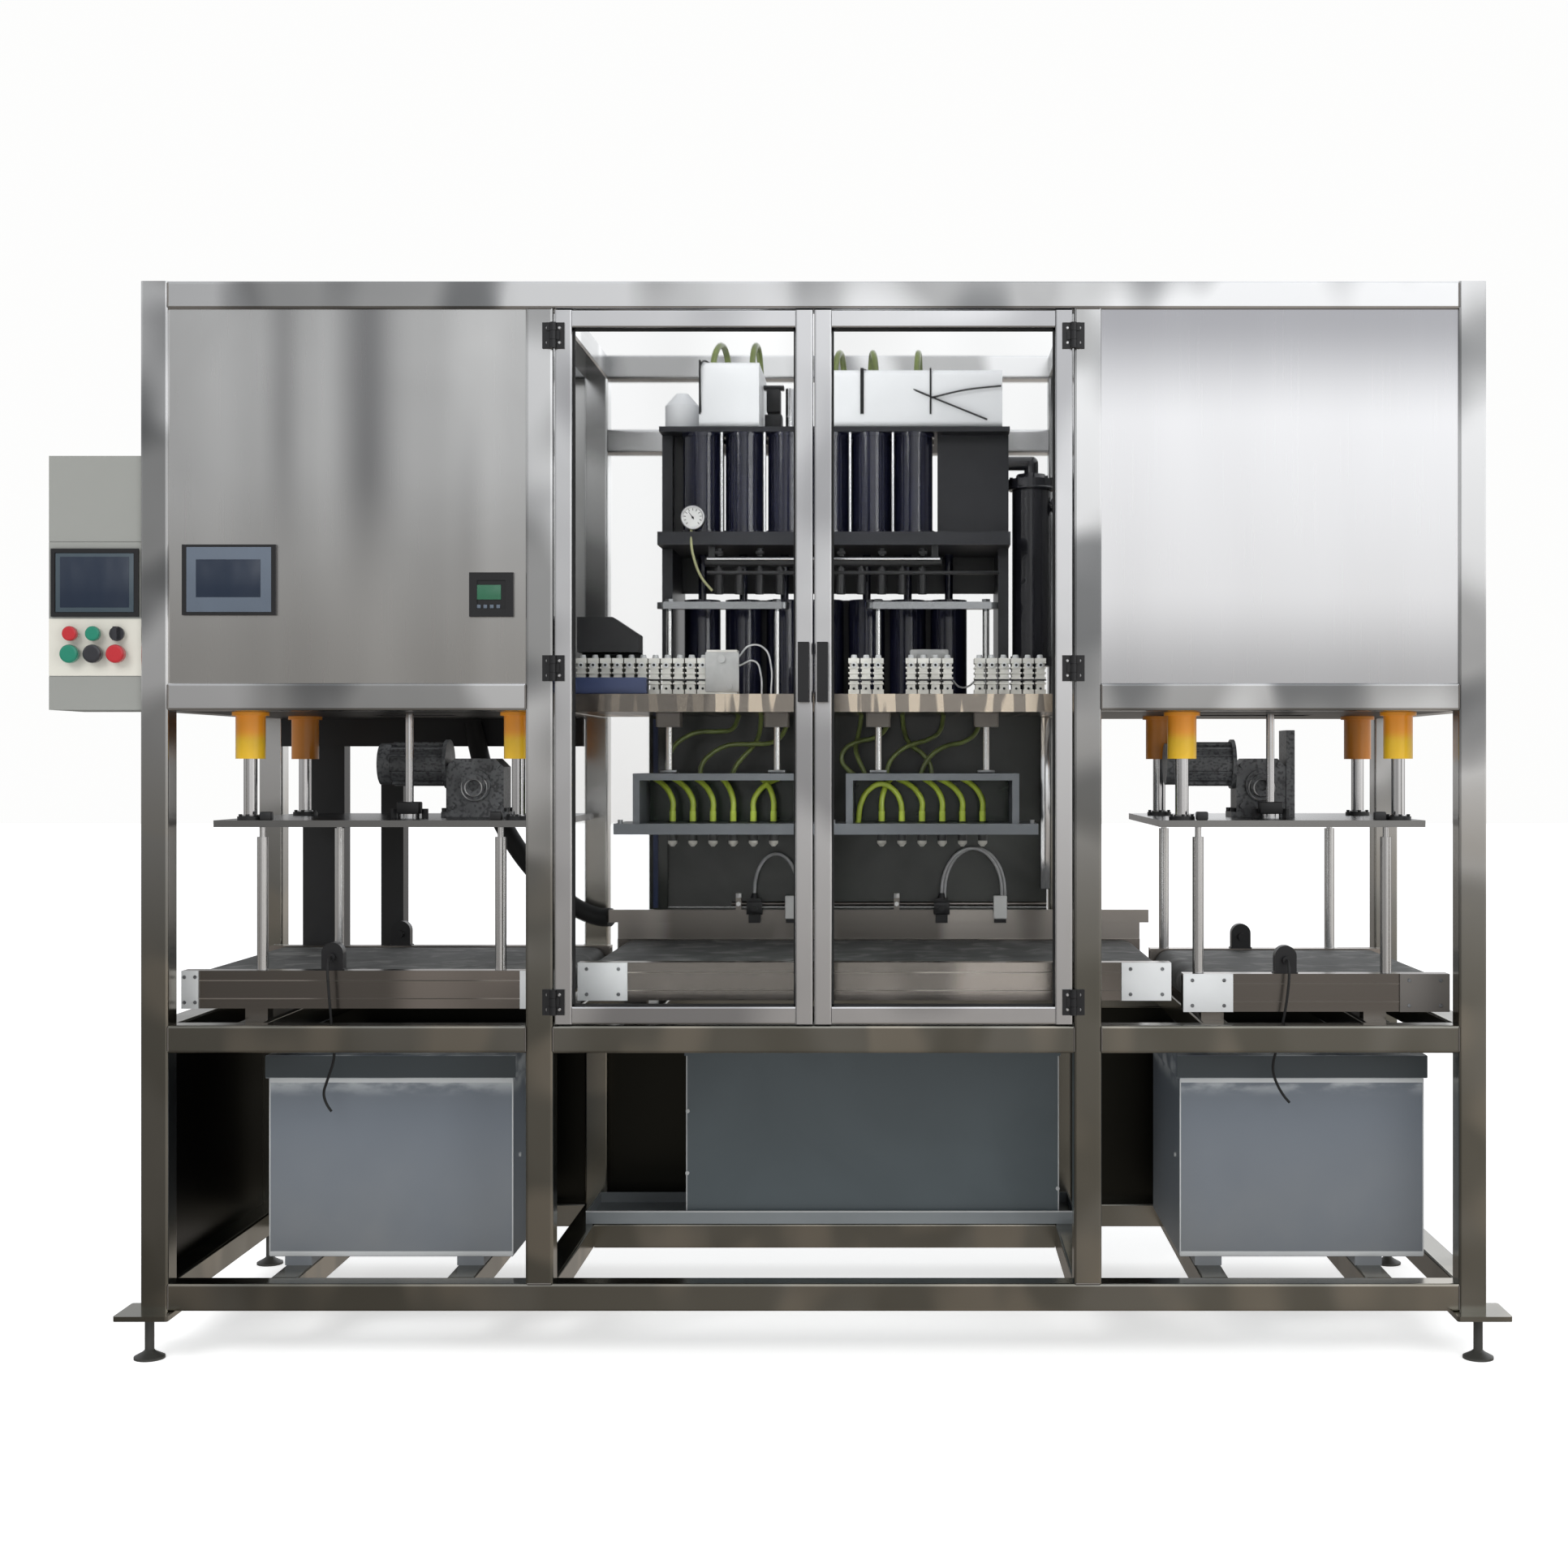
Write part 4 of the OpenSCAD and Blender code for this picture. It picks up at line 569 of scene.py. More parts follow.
def add_stud(bm, x, depth, z, rise, *shape, **options):
    """An upright bar from its foot, in the millimetres of at()."""
    add_bar(bm, (x, depth, z), (x, depth, z + rise), *shape, **options)


def add_knob(bm, x, depth, z, out, *shape, **options):
    """A bar that sticks out to the front, in the millimetres of at()."""
    add_bar(bm, (x, depth, z), (x, depth - out, z), *shape, **options)


def add_ring(bm, centre, axis, radius, thickness, sides=28):
    """A torus round an axis, made by a full spin of a small disc's rim."""
    axis = Vector(axis).normalized()
    side = axis.orthogonal().normalized()
    rim = bmesh.ops.create_circle(bm, segments=10, radius=thickness)["verts"]
    turn = Matrix((side, axis, side.cross(axis))).transposed().to_4x4()
    bmesh.ops.transform(bm, matrix=Matrix.Translation(Vector(centre) + side * radius) @ turn, verts=rim)
    edges = list({e for v in rim for e in v.link_edges})
    bmesh.ops.spin(bm, geom=edges, cent=centre, axis=axis, angle=math.tau, steps=sides, use_merge=True)


@contextmanager
def piece(name, material, body="root"):
    """Hands out an empty bmesh and turns what was built in it into a piece that rides on a body."""
    bm = bmesh.new()
    yield bm
    bmesh.ops.recalc_face_normals(bm, faces=bm.faces[:])
    mesh = bpy.data.meshes.new(name)
    bm.to_mesh(mesh)
    bm.free()
    made = bpy.data.objects.new(name, mesh)
    bpy.context.scene.collection.objects.link(made)
    mesh.materials.append(material_of(material))
    mesh.shade_smooth()
    mesh.set_sharp_from_angle(angle=math.radians(35))
    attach(made, body)


def boxes(name, material, bevel, *corners):
    """A piece of boxes, each between two corners in the millimetres of at()."""
    with piece(name, material) as bm:
        for low, high in corners:
            add_block(bm, low, high, bevel)


def hose(name, routes, radius, material, body="root"):
    """Round hoses along routes of points in metres, each one smooth open spline of one curve."""
    curve = bpy.data.curves.new(name, "CURVE")
    curve.dimensions = "3D"
    curve.bevel_depth = radius
    curve.bevel_resolution = 3
    curve.resolution_u = 5
    curve.use_fill_caps = True
    for points in routes:
        spline = curve.splines.new("BEZIER")
        spline.bezier_points.add(len(points) - 1)
        for knot, place in zip(spline.bezier_points, points):
            knot.co = place
            knot.handle_left_type = knot.handle_right_type = "AUTO"
    made = bpy.data.objects.new(name, curve)
    bpy.context.scene.collection.objects.link(made)
    curve.materials.append(material_of(material))
    if body:
        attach(made, body)
    return made


def laid_hose(name, routes, radius, material):
    """Hoses along routes in the millimetres of at(), fixed to the frame."""
    return hose(name, [[at(*p) for p in route] for route in routes], radius, material)


def bending_hose(name, routes, radius, material):
    """Hoses as a plain mesh on no body, along routes from start to end."""
    soft = hose(name + "_line", routes, radius, material, body=None)
    bpy.context.view_layer.update()
    mesh = bpy.data.meshes.new_from_object(soft.evaluated_get(bpy.context.evaluated_depsgraph_get()))
    bpy.data.objects.remove(soft)
    mesh.name = name
    made = bpy.data.objects.new(name, mesh)
    bpy.context.scene.collection.objects.link(made)
    mesh.shade_smooth()
    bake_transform(made)
    return made


# Stage

# The picture's middle on the frame's front face, in millimetres off the camera's axis
PICTURE_SHIFT = (-271, -46)
FLOOR_SIZE = 40.0
# What a reflection sees from straight down (0) to straight up (1)
SKY = (
    (0.0, (0.24, 0.22, 0.20)), (0.36, (0.26, 0.24, 0.22)), (0.45, (0.30, 0.28, 0.26)), (0.50, (0.55, 0.54, 0.53)),
    (0.56, (0.75, 0.76, 0.77)), (0.64, (0.95, 0.96, 0.98)), (1.0, (0.80, 0.82, 0.85)),
)
# Name, place, width and power of each soft lamp
LAMPS = (("key lamp", (-3.2, -4.6, 4.2), 3.0, 150.0), ("fill lamp", (3.6, -4.2, 2.4), 2.6, 70.0))
LAMP_AIM = Vector((0.0, 0.0, 1.1))


class MACHINE_OT_stage(bpy.types.Operator):
    """Camera, floor, sky and lamps of the studio"""

    bl_idname = "machine.stage"
    bl_label = "Set the stage"

    def execute(self, context):
        scene = context.scene
        scene.view_settings.view_transform = "Standard"
        self.camera(scene, scene.machine_view)
        self.floor(scene)
        self.sky(scene)
        self.lamps(scene)
        return {"FINISHED"}

    def camera(self, scene, view):
        """Level camera in front, shifted instead of turned so that the uprights stay parallel."""
        lens = bpy.data.cameras.new("photo camera")
        lens.sensor_width = 36.0
        lens.lens = lens.sensor_width * view.distance / view.width
        lens.shift_x, lens.shift_y = (shift * MM / view.width for shift in PICTURE_SHIFT)
        camera = bpy.data.objects.new("photo camera", lens)
        camera.location = (MIDDLE_X + view.offset, FRONT_Y - view.distance, view.height)
        camera.rotation_euler = (math.pi / 2, 0, 0)
        scene.collection.objects.link(camera)
        scene.camera = camera

    def floor(self, scene):
        bm = bmesh.new()
        bmesh.ops.create_grid(bm, x_segments=1, y_segments=1, size=FLOOR_SIZE)
        mesh = bpy.data.meshes.new("floor")
        bm.to_mesh(mesh)
        bm.free()
        ground = bpy.data.objects.new("floor", mesh)
        scene.collection.objects.link(ground)
        paint = bpy.data.materials.new("floor paint")
        paint.use_nodes = True
        fill(paint.node_tree.nodes["Principled BSDF"], {
            "Base Color": (0.86, 0.86, 0.85, 1.0), "Roughness": 0.9,
            "Emission Color": (1.0, 1.0, 0.995, 1.0), "Emission Strength": 0.55,
        })
        mesh.materials.append(paint)
        ground.visible_glossy = False

    def sky(self, scene):
        """Near white for the camera; grey and warm bands for reflections, as a hall with lamps gives."""
        world = bpy.data.worlds.new("studio")
        world.use_nodes = True
        scene.world = world
        tree = world.node_tree
        tree.nodes.clear()
        direction = add_node(tree, "TexCoord").outputs["Generated"]
        split = add_node(tree, "SeparateXYZ", links={"Vector": direction}).outputs
        rise = add_node(tree, "ValToRGB", links={"Fac": map_range(tree, split["Z"], -1.0, 1.0)})
        stops = rise.color_ramp.elements
        while len(stops) < len(SKY):
            stops.new(0.5)
        for stop, (place, tint) in zip(stops, SKY):
            stop.position = place
            stop.color = (*tint, 1.0)
        side = map_range(tree, split["X"], -0.30, 0.10, 0.62, 1.35)
        wide = add_node(tree, "VectorMath", {1: (7.0, 2.0, 1.2)}, {0: direction}, operation="MULTIPLY")
        swing = map_range(tree, add_noise(tree, wide.outputs[0], 1.6, 2.0), 0.35, 0.65, 0.60, 1.25)
        shine = add_node(tree, "Background",
                         links={"Color": rise.outputs["Color"], "Strength": multiply(tree, side, swing)})
        soft = add_node(tree, "Background", {"Color": (0.95, 0.97, 1.0, 1.0), "Strength": 0.75})
        white = add_node(tree, "Background", {"Color": (0.985, 0.985, 0.98, 1.0)})
        path = add_node(tree, "LightPath").outputs
        glossy = add_node(tree, "MixShader", links={"Fac": path["Is Glossy Ray"], 1: soft.outputs[0],
                                                    2: shine.outputs[0]})
        seen = add_node(tree, "MixShader", links={"Fac": path["Is Camera Ray"], 1: glossy.outputs[0],
                                                  2: white.outputs[0]})
        add_node(tree, "OutputWorld", links={"Surface": seen.outputs[0]})

    def lamps(self, scene):
        """Two wide soft lamps in front, high on the left and low on the right."""
        for name, place, size, power in LAMPS:
            lamp = bpy.data.lights.new(name, "AREA")
            lamp.shape = "DISK"
            lamp.size = size
            lamp.energy = power
            stand = bpy.data.objects.new(name, lamp)
            stand.location = place
            stand.rotation_euler = (LAMP_AIM - Vector(place)).to_track_quat("-Z", "Y").to_euler()
            stand.visible_glossy = False
            scene.collection.objects.link(stand)


# Pieces; their places are in the millimetres of at(), their radii and bevels in metres

LEAD_RADIUS = 0.003
LEADS = {
    "left": [
        (-1074, 99, 864), (-1074, 88, 862), (-1074, 79, 855), (-1073, 72, 845), (-1073, 70, 834), (-1071, 70, 800),
        (-1069, 71, 770), (-1067, 73, 740), (-1065, 76, 710), (-1063, 82, 680), (-1064, 92, 655), (-1070, 104, 630),
        (-1080, 114, 605), (-1090, 120, 580), (-1096, 124, 560), (-1094, 126, 544), (-1088, 127, 530),
        (-1080, 128, 518),
    ],
    "right": [
        (1044, 99, 857), (1044, 88, 855), (1044, 79, 848), (1044, 72, 838), (1044, 70, 827), (1041, 70, 790),
        (1037, 71, 760), (1032, 73, 730), (1026, 78, 700), (1021, 84, 670), (1016, 94, 645), (1014, 104, 622),
        (1018, 113, 600), (1026, 119, 580), (1036, 123, 562), (1046, 126, 548), (1055, 128, 538),
    ],
}


class MACHINE_OT_cords(bpy.types.Operator):
    """The two thin sensor leads that hang in front of the side tanks"""

    bl_idname = "machine.cords"
    bl_label = "Hang the sensor leads"

    def execute(self, context):
        for side, route in LEADS.items():
            points = [at(*p) for p in route]
            lead = hose(f"{side}_sensor_lead", [points], LEAD_RADIUS, "rubber black")
            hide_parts("sensor_cables")
        return {"FINISHED"}


class MACHINE_OT_finishes(bpy.types.Operator):
    """Finishes of every piece that keeps its own shape"""

    bl_idname = "machine.finishes"
    bl_label = "Finish the frame's pieces"

    def execute(self, context):
        for name, patterns in NODES_OF.items():
            for node in sorted({pattern.format(side=side) for pattern, side in product(patterns, SIDES)}):
                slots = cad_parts[node].data.materials
                slots.clear()
                slots.append(material_of(name))
        return {"FINISHED"}


# Lower and upper edges of the long beams; edges of the columns, middles of the inner ones, front and back
BEAM_EDGES = ((105, 165), (665, 725), (1408, 1468), (2280, 2340))
OUTER, DOOR_SIDE = 1400, 565
COLUMN_EDGES = (-OUTER, -625, -DOOR_SIDE, DOOR_SIDE, 625, OUTER)
MIDDLE_COLUMNS = (-595, 595)
DEPTHS = (0, 900)


class MACHINE_OT_welds(bpy.types.Operator):
    """Weld beads where the frame's tubes meet"""

    bl_idname = "machine.welds"
    bl_label = "Weld the frame"

    def execute(self, context):
        radius = context.scene.machine_metal.weld
        with piece("weld_beads", "weld bead") as bm:
            for x, depth, (low, high) in product(COLUMN_EDGES, DEPTHS, BEAM_EDGES):
                beam_runs_on = abs(x) != OUTER and (low, high) in (BEAM_EDGES[0], BEAM_EDGES[3])
                no_beam = abs(x) == DOOR_SIDE and (low, high) == BEAM_EDGES[2]
                if not (beam_runs_on or no_beam):
                    add_bar(bm, (x, depth, low + 4), (x, depth, high - 4), radius, sides=8)
            for x, depth, z in product(MIDDLE_COLUMNS, DEPTHS, (165, 2280)):
                add_bar(bm, (x - 26, depth, z), (x + 26, depth, z), radius, sides=8)
        return {"FINISHED"}


HINGE_X = 563.5
HINGE_HEIGHTS = (776, 1500, 2221)
GASKET = 0.004


class MACHINE_OT_doors(bpy.types.Operator):
    """Hinge screws and pane gaskets of the two doors"""

    bl_idname = "machine.doors"
    bl_label = "Dress the doors"

    def execute(self, context):
        radius = context.scene.machine_plastic.screw / 2
        for body, signs, along in (("root", (-1, 1), -13), ("left_door", (-1,), 13), ("right_door", (1,), 13)):
            with piece(f"{body}_hinge_screws", "bright screw", body) as bm:
                for sign, height, rise in product(signs, HINGE_HEIGHTS, (-16, 16)):
                    x, z = sign * (HINGE_X - along), height + rise
                    add_knob(bm, x, -4.5, z, 2.3, radius, radius * 0.6)
        for side in SIDES:
            low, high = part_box(f"{side}_door_pane")
            with piece(f"{side}_door_gasket", "rubber black", f"{side}_door") as bm:
                for y in (low[1] - GASKET, high[1]):
                    for x in (low[0], high[0] - GASKET):
                        add_box(bm, (x, y, low[2]), (x + GASKET, y + GASKET, high[2]))
                    for z in (low[2], high[2] - GASKET):
                        add_box(bm, (low[0], y, z), (high[0], y + GASKET, z + GASKET))
        return {"FINISHED"}


KEYS = (-730, -716, -702, -688)
# Piece, material, bevel and corners of the plain faces on the operator's side
CONTROL_FACES = (
    ("screen_surround", "screen grey", 0.001, ((-1360, -0.8, 1622), (-1176, 4.8, 1763))),
    ("screen_face", "screen dark", 0.0006, ((-1339, -1.6, 1654), (-1199, 0.0, 1736))),
    ("controller_display", "lcd green", 0.0006, ((-734, 0.6, 1649), (-678, 3.4, 1681))),
    ("controller_keys", "screen grey", 0.0008, *(((x, 0.4, 1630), (x + 8, 3.4, 1638)) for x in KEYS)),
    ("cabinet_display", "cabinet screen", 0.0006, ((-1646, 5.0, 1622), (-1476, 7.4, 1750))),
    ("cabinet_field", "screen dark", 0.0003, ((-1636, 4.4, 1632), (-1486, 5.2, 1742))),
)


class MACHINE_OT_controls(bpy.types.Operator):
    """Faces of the operator screens, the controller and the cabinet"""

    bl_idname = "machine.controls"
    bl_label = "Dress the controls"

    def execute(self, context):
        for face in CONTROL_FACES:
            boxes(*face)
        return {"FINISHED"}


# Middle of the press plate, half the spacing of its rods, its piston, and the ends of the gearbox
PRESSES = {"left": (-967, 300, -957, (-887, -751)), "right": (1060, 242, 1049, (981, 1098))}
PRESS_ROD_DEPTHS = (150, 580)
PLATE_TOP = 1167


class MACHINE_OT_press_stations(bpy.types.Operator):
    """Nuts, rod collars and motor fittings of the two press stations"""

    bl_idname = "machine.press_stations"
    bl_label = "Dress the press stations"

    def execute(self, context):
        for side, (middle, half, piston, gearbox) in PRESSES.items():
            rods = list(product((middle - half, middle + half), PRESS_ROD_DEPTHS))
            with piece(f"{side}_press_fittings", "dark paint", f"{side}_press") as bm:
                for x, depth in rods:
                    self.flange(bm, at(x, depth, PLATE_TOP))
                self.clamp(bm, at(piston, 345, PLATE_TOP + 9))
                for x in (middle - half + 42, middle + half - 46):
                    add_block(bm, (x - 13, 118, PLATE_TOP), (x + 13, 140, PLATE_TOP + 19), 0.003)
                for x, depth in product((gearbox[0] - 6, gearbox[1] + 6), (424, 496)):
                    add_stud(bm, x, depth, PLATE_TOP + 11, 10, 0.007, sides=6)
            with piece(f"{side}_press_rings", "bright screw", f"{side}_press") as bm:
                for x, depth in rods:
                    add_ring(bm, at(x, depth, PLATE_TOP + 10), (0, 0, 1), 0.0165, 0.0022)
                for depth, radius in ((405, 0.030), (396, 0.020)):
                    add_ring(bm, at(sum(gearbox) / 2, depth, 1236), (0, 1, 0), radius, 0.0018)
        return {"FINISHED"}

    def flange(self, bm, foot):
        """Collar of a guide rod with four screws."""
        add_rod(bm, foot, foot + Vector((0, 0, 0.008)), 0.029)
        for turn in range(4):
            spoke = Vector((math.cos(turn * math.pi / 2), math.sin(turn * math.pi / 2), 0)) * 0.023
            add_rod(bm, foot + spoke, foot + spoke + Vector((0, 0, 0.013)), 0.004, sides=6)

    def clamp(self, bm, foot):
        """Square clamp of the piston with two screws."""
        add_box(bm, foot - Vector((0.026, 0.020, 0)), foot + Vector((0.026, 0.020, 0.028)), 0.003)
        for x in (-0.036, 0.036):
            add_rod(bm, foot + Vector((x, 0, -0.009)), foot + Vector((x, 0, 0.012)), 0.008, sides=6)


# Start, width and top of each end plate; start, end and top of each conveyor's front beam
END_PLATES = ((-1405, 37, 834), (-527, 110, 852), (678, 110, 852), (815, 110, 827), (1295, 110, 827))
FRONT_BEAMS = ((-1368, -548, 834), (-417, 678, 852), (925, 1295, 827))


class MACHINE_OT_conveyors(bpy.types.Operator):
    """End plate screws and beam slots of the conveyors"""

    bl_idname = "machine.conveyors"
    bl_label = "Dress the conveyors"

    def execute(self, context):
        with piece("end_plate_screws", "motor grey") as bm:
            for (start, width, top), share, drop in product(END_PLATES, (0.18, 0.82), (14, 70)):
                x, z = start + width * share, top - drop
                add_knob(bm, x, 99, z, 2.2, 0.0042, 0.003)
        boxes("beam_slots", "guide bar", 0.0,
              *(((low, 103.6, top - drop - 1.2), (high, 105, top - drop + 1.2))
                for (low, high, top), drop in product(FRONT_BEAMS, (22, 62))))
        return {"FINISHED"}


# Middle of each filling head on X; depth, number and spacing of its nozzles
HEADS = {"left": -235, "right": 262}
HEAD_DEPTH = 445
NOZZLES = 6
NOZZLE_PITCH = 48
# Sideways lean of each nozzle's hose at its far end, from the left
LEANS = {"left": (-46, -50, -44, -30, 56, -30), "right": (22, -104, -58, -44, -56, -48)}
# Hose from a nozzle to the box's top, and one that leans by more than TURNING and comes down beside its
# neighbour: share of the lean, depth behind the nozzle, height
RISING_HOSE = ((0, 0, 1151), (0, 0, 1178), (0, 2, 1203), (0.2, 6, 1226), (0.52, 16, 1243), (1, 40, 1257))
TURNING_HOSE = ((0, 0, 1151), (0, 0, 1178), (0.04, 0, 1206), (0.2, 0, 1232), (0.46, -4, 1245),
                (0.74, -4, 1232), (0.93, -2, 1200), (1, 0, 1152))
TURNING = 90
# Hoses from the box's top to the table's underside
SUPPLY = {
    "left": [
        [(-297, 510, 1262), (-292, 510, 1290), (-269, 514, 1317), (-229, 520, 1337), (-172, 530, 1340),
         (-123, 560, 1346), (-96, 590, 1376), (-90, 600, 1415)],
        [(-221, 515, 1262), (-212, 515, 1284), (-196, 520, 1306), (-172, 535, 1333), (-158, 570, 1366),
         (-154, 590, 1415)],
        [(-378, 535, 1262), (-376, 536, 1300), (-364, 538, 1332), (-340, 542, 1354), (-305, 548, 1369),
         (-260, 560, 1371), (-225, 590, 1378), (-210, 615, 1415)],
    ],
    "right": [
        [(80, 535, 1262), (58, 536, 1280), (44, 538, 1302), (52, 542, 1328), (84, 550, 1346), (122, 566, 1356),
         (150, 590, 1378), (158, 600, 1415)],
        [(104, 515, 1262), (94, 516, 1284), (84, 520, 1306), (78, 540, 1332), (84, 575, 1366), (92, 590, 1415)],
        [(152, 512, 1262), (158, 512, 1290), (176, 516, 1316), (206, 524, 1336), (250, 545, 1350),
         (282, 580, 1372), (292, 600, 1415)],
        [(234, 515, 1262), (243, 515, 1288), (262, 520, 1314), (296, 530, 1335), (340, 548, 1346),
         (372, 580, 1372), (380, 600, 1415)],
        [(262, 530, 1262), (258, 532, 1290), (240, 536, 1316), (212, 546, 1338), (196, 580, 1370),
         (190, 600, 1415)],
    ],
}


class MACHINE_OT_filling_heads(bpy.types.Operator):
    """Dark green back, hoses and supply lines of the two filling heads"""

    bl_idname = "machine.filling_heads"
    bl_label = "Dress the filling heads"

    def execute(self, context):
        for side, middle in HEADS.items():
            self.hoses(side, middle)
            self.fittings(side, middle)
        return {"FINISHED"}

    def hoses(self, side, middle):
        body = f"{side}_head"
        nozzles = [middle + (i - (NOZZLES - 1) / 2) * NOZZLE_PITCH for i in range(NOZZLES)]
        with piece(f"{side}_head_back", "green back", body) as bm:
            add_block(bm, (middle - 185, 533, 1154), (middle + 185, 538, 1253))
        routes = []
        for x, lean in zip(nozzles, LEANS[side]):
            form = TURNING_HOSE if abs(lean) > TURNING else RISING_HOSE
            routes.append([at(x + lean * share, HEAD_DEPTH + back, z) for share, back, z in form])
        arcs = hose(f"{side}_filling_hoses", routes, 0.0068, "hose green", body)
        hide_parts(f"{side}_head_hoses")
        with piece(f"{side}_hose_unions", "dark paint", body) as bm:
            for x in nozzles:
                add_ring(bm, at(x, HEAD_DEPTH, 1154.5), (0, 0, 1), 0.0105, 0.0016, 16)
        routes = [[at(*p) for p in route] for route in SUPPLY[side]]
        lines = bending_hose(f"{side}_supply_hoses", routes, 0.0058, "hose olive")
        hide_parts(f"{side}_head_hoses")

    def fittings(self, side, middle):
        """Caps and nuts of the rods, and the stop pins in front of the box."""
        with piece(f"{side}_head_fittings", "yoke steel", f"{side}_head") as bm:
            for x in (middle - 140, middle + 140):
                add_stud(bm, x, HEAD_DEPTH, 1661, 15, 0.017, sides=16)
            for x in (middle - 128, middle + 128):
                add_stud(bm, x, HEAD_DEPTH, 1677, 7, 0.011, sides=6)
                add_block(bm, (x - 20, 425, 1270), (x + 20, 465, 1278), 0.002)
            for x in (middle - 232, middle + 232):
                add_stud(bm, x, 352, 1153, 9, 0.006, sides=10)


# Sensor boxes; left end, right end and top of each conduit's arc; clamps of the guide
GUIDE_BOXES = (-87, 436)
CONDUITS = ((-181, -72, 1066), (289, 440, 1080))
CONDUIT_DEPTH, ARC_FOOT = 730, 972
GUIDE_CLAMPS = (-222, 176)


class MACHINE_OT_guide_sensors(bpy.types.Operator):
    """White boxes and bent conduits of the sensors on the rear guide, and a black strip behind them that is painted
    shade.
    """

    bl_idname = "machine.guide_sensors"
    bl_label = "Dress the rear guide"

    def execute(self, context):
        boxes("guide_boxes", "white plastic", 0.003,
              *(((x - 17, 722, 903), (x + 17, 741, 962)) for x in GUIDE_BOXES))
        self.conduits()
        low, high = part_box("splash_panel")
        # The first box of this piece is a black strip of painted shade, filling the gap between the splash panel and
        # the guide.
        with piece("guide_back", "splash black") as bm:
            add_box(bm, (low[0], low[1], at(0, 0, 890)[2]), (high[0], high[1], low[2] - 0.0005))
            add_block(bm, (-447, 736, 926), (-400, 755, 1411), 0.002)
        boxes("guide_back_edge", "blue sheet", 0.001, ((-436, 733, 930), (-424, 736.5, 1405)))
        boxes("table_leg", "rod chrome", 0.003, ((538, 735, 977), (562, 755, 1411)))
        with piece("guide_glands", "black plastic") as bm:
            for x, *_ in CONDUITS:
                add_stud(bm, x, 730, 955, 13, 0.010, 0.007)
                add_block(bm, (x - 20, 720, 914), (x + 20, 723, 946), 0.001)
                add_knob(bm, x, 720, 930, 5, 0.008)
        with piece("guide_clamp_screws", "bright screw") as bm:
            for x in GUIDE_CLAMPS:
                add_stud(bm, x, 746, 955, 11, 0.008, sides=6)
                add_knob(bm, x, 738, 940, 5, 0.006, sides=6)
        return {"FINISHED"}

    def conduits(self):
        """A half ellipse over each pair of ends, and a second conduit beside the right one."""
        routes = []
        for low, high, top in CONDUITS:
            middle, reach = (low + high) / 2, (high - low) / 2
            turns = [math.pi * i / 8 for i in range(9)]
            arc = [(middle - reach * math.cos(turn), CONDUIT_DEPTH, ARC_FOOT + (top - ARC_FOOT) * math.sin(turn))
                   for turn in turns]
            routes.append([(low, CONDUIT_DEPTH, 948), *arc, (high, CONDUIT_DEPTH, 955)])
        routes.append([(x + 8, depth + 6, z) for x, depth, z in routes[1]])
        laid_hose("guide_conduits", routes, 0.0040, "conduit grey")


GAUGE = (-300, 374, 1870)
NEEDLE_ANGLE = 2.2
# Low edge, high edge and top of each strap over the header containers
STRAPS = ((-290, -286, 2246), (92, 100, 2227), (256, 260, 2227))
# Low and high X, depth, low and high Z of the dark sheets behind the tower
TOWER_BACKS = ((-358, -336, 506, 1837, 2077), (-60, 216, 618, 1837, 2077),
               (-240, 345, 690, 1452, 1700), (-358, 420, 690, 1716, 1806))
# Foot on X, sideways lean and height of each header hose; then share of the lean, depth and rise along it
HEADER_HOSES = ((-262, 30, 2244), (-168, 12, 2244), (30, 20, 2226), (128, -16, 2226), (226, 8, 2226))
HEADER_ARC = ((0.0, 0, -3), (0.1, 5, 24), (0.3, 19, 46), (0.6, 60, 60), (0.8, 101, 46), (0.9, 115, 24),
              (1.0, 120, -2))
HEADER_WIRES = (
    [(100, 440, 2229), (180, 430, 2196), (260, 414, 2160), (392, 412, 2106)],
    [(260, 414, 2158), (340, 412, 2176), (425, 414, 2186)],
    [(-286, 416, 2124), (-287, 414, 2190), (-284, 416, 2240), (-262, 470, 2246)],
)
GAUGE_TUBE = [(-304, 380, 1846), (-303, 372, 1806), (-296, 374, 1770), (-280, 380, 1730), (-256, 390, 1700)]


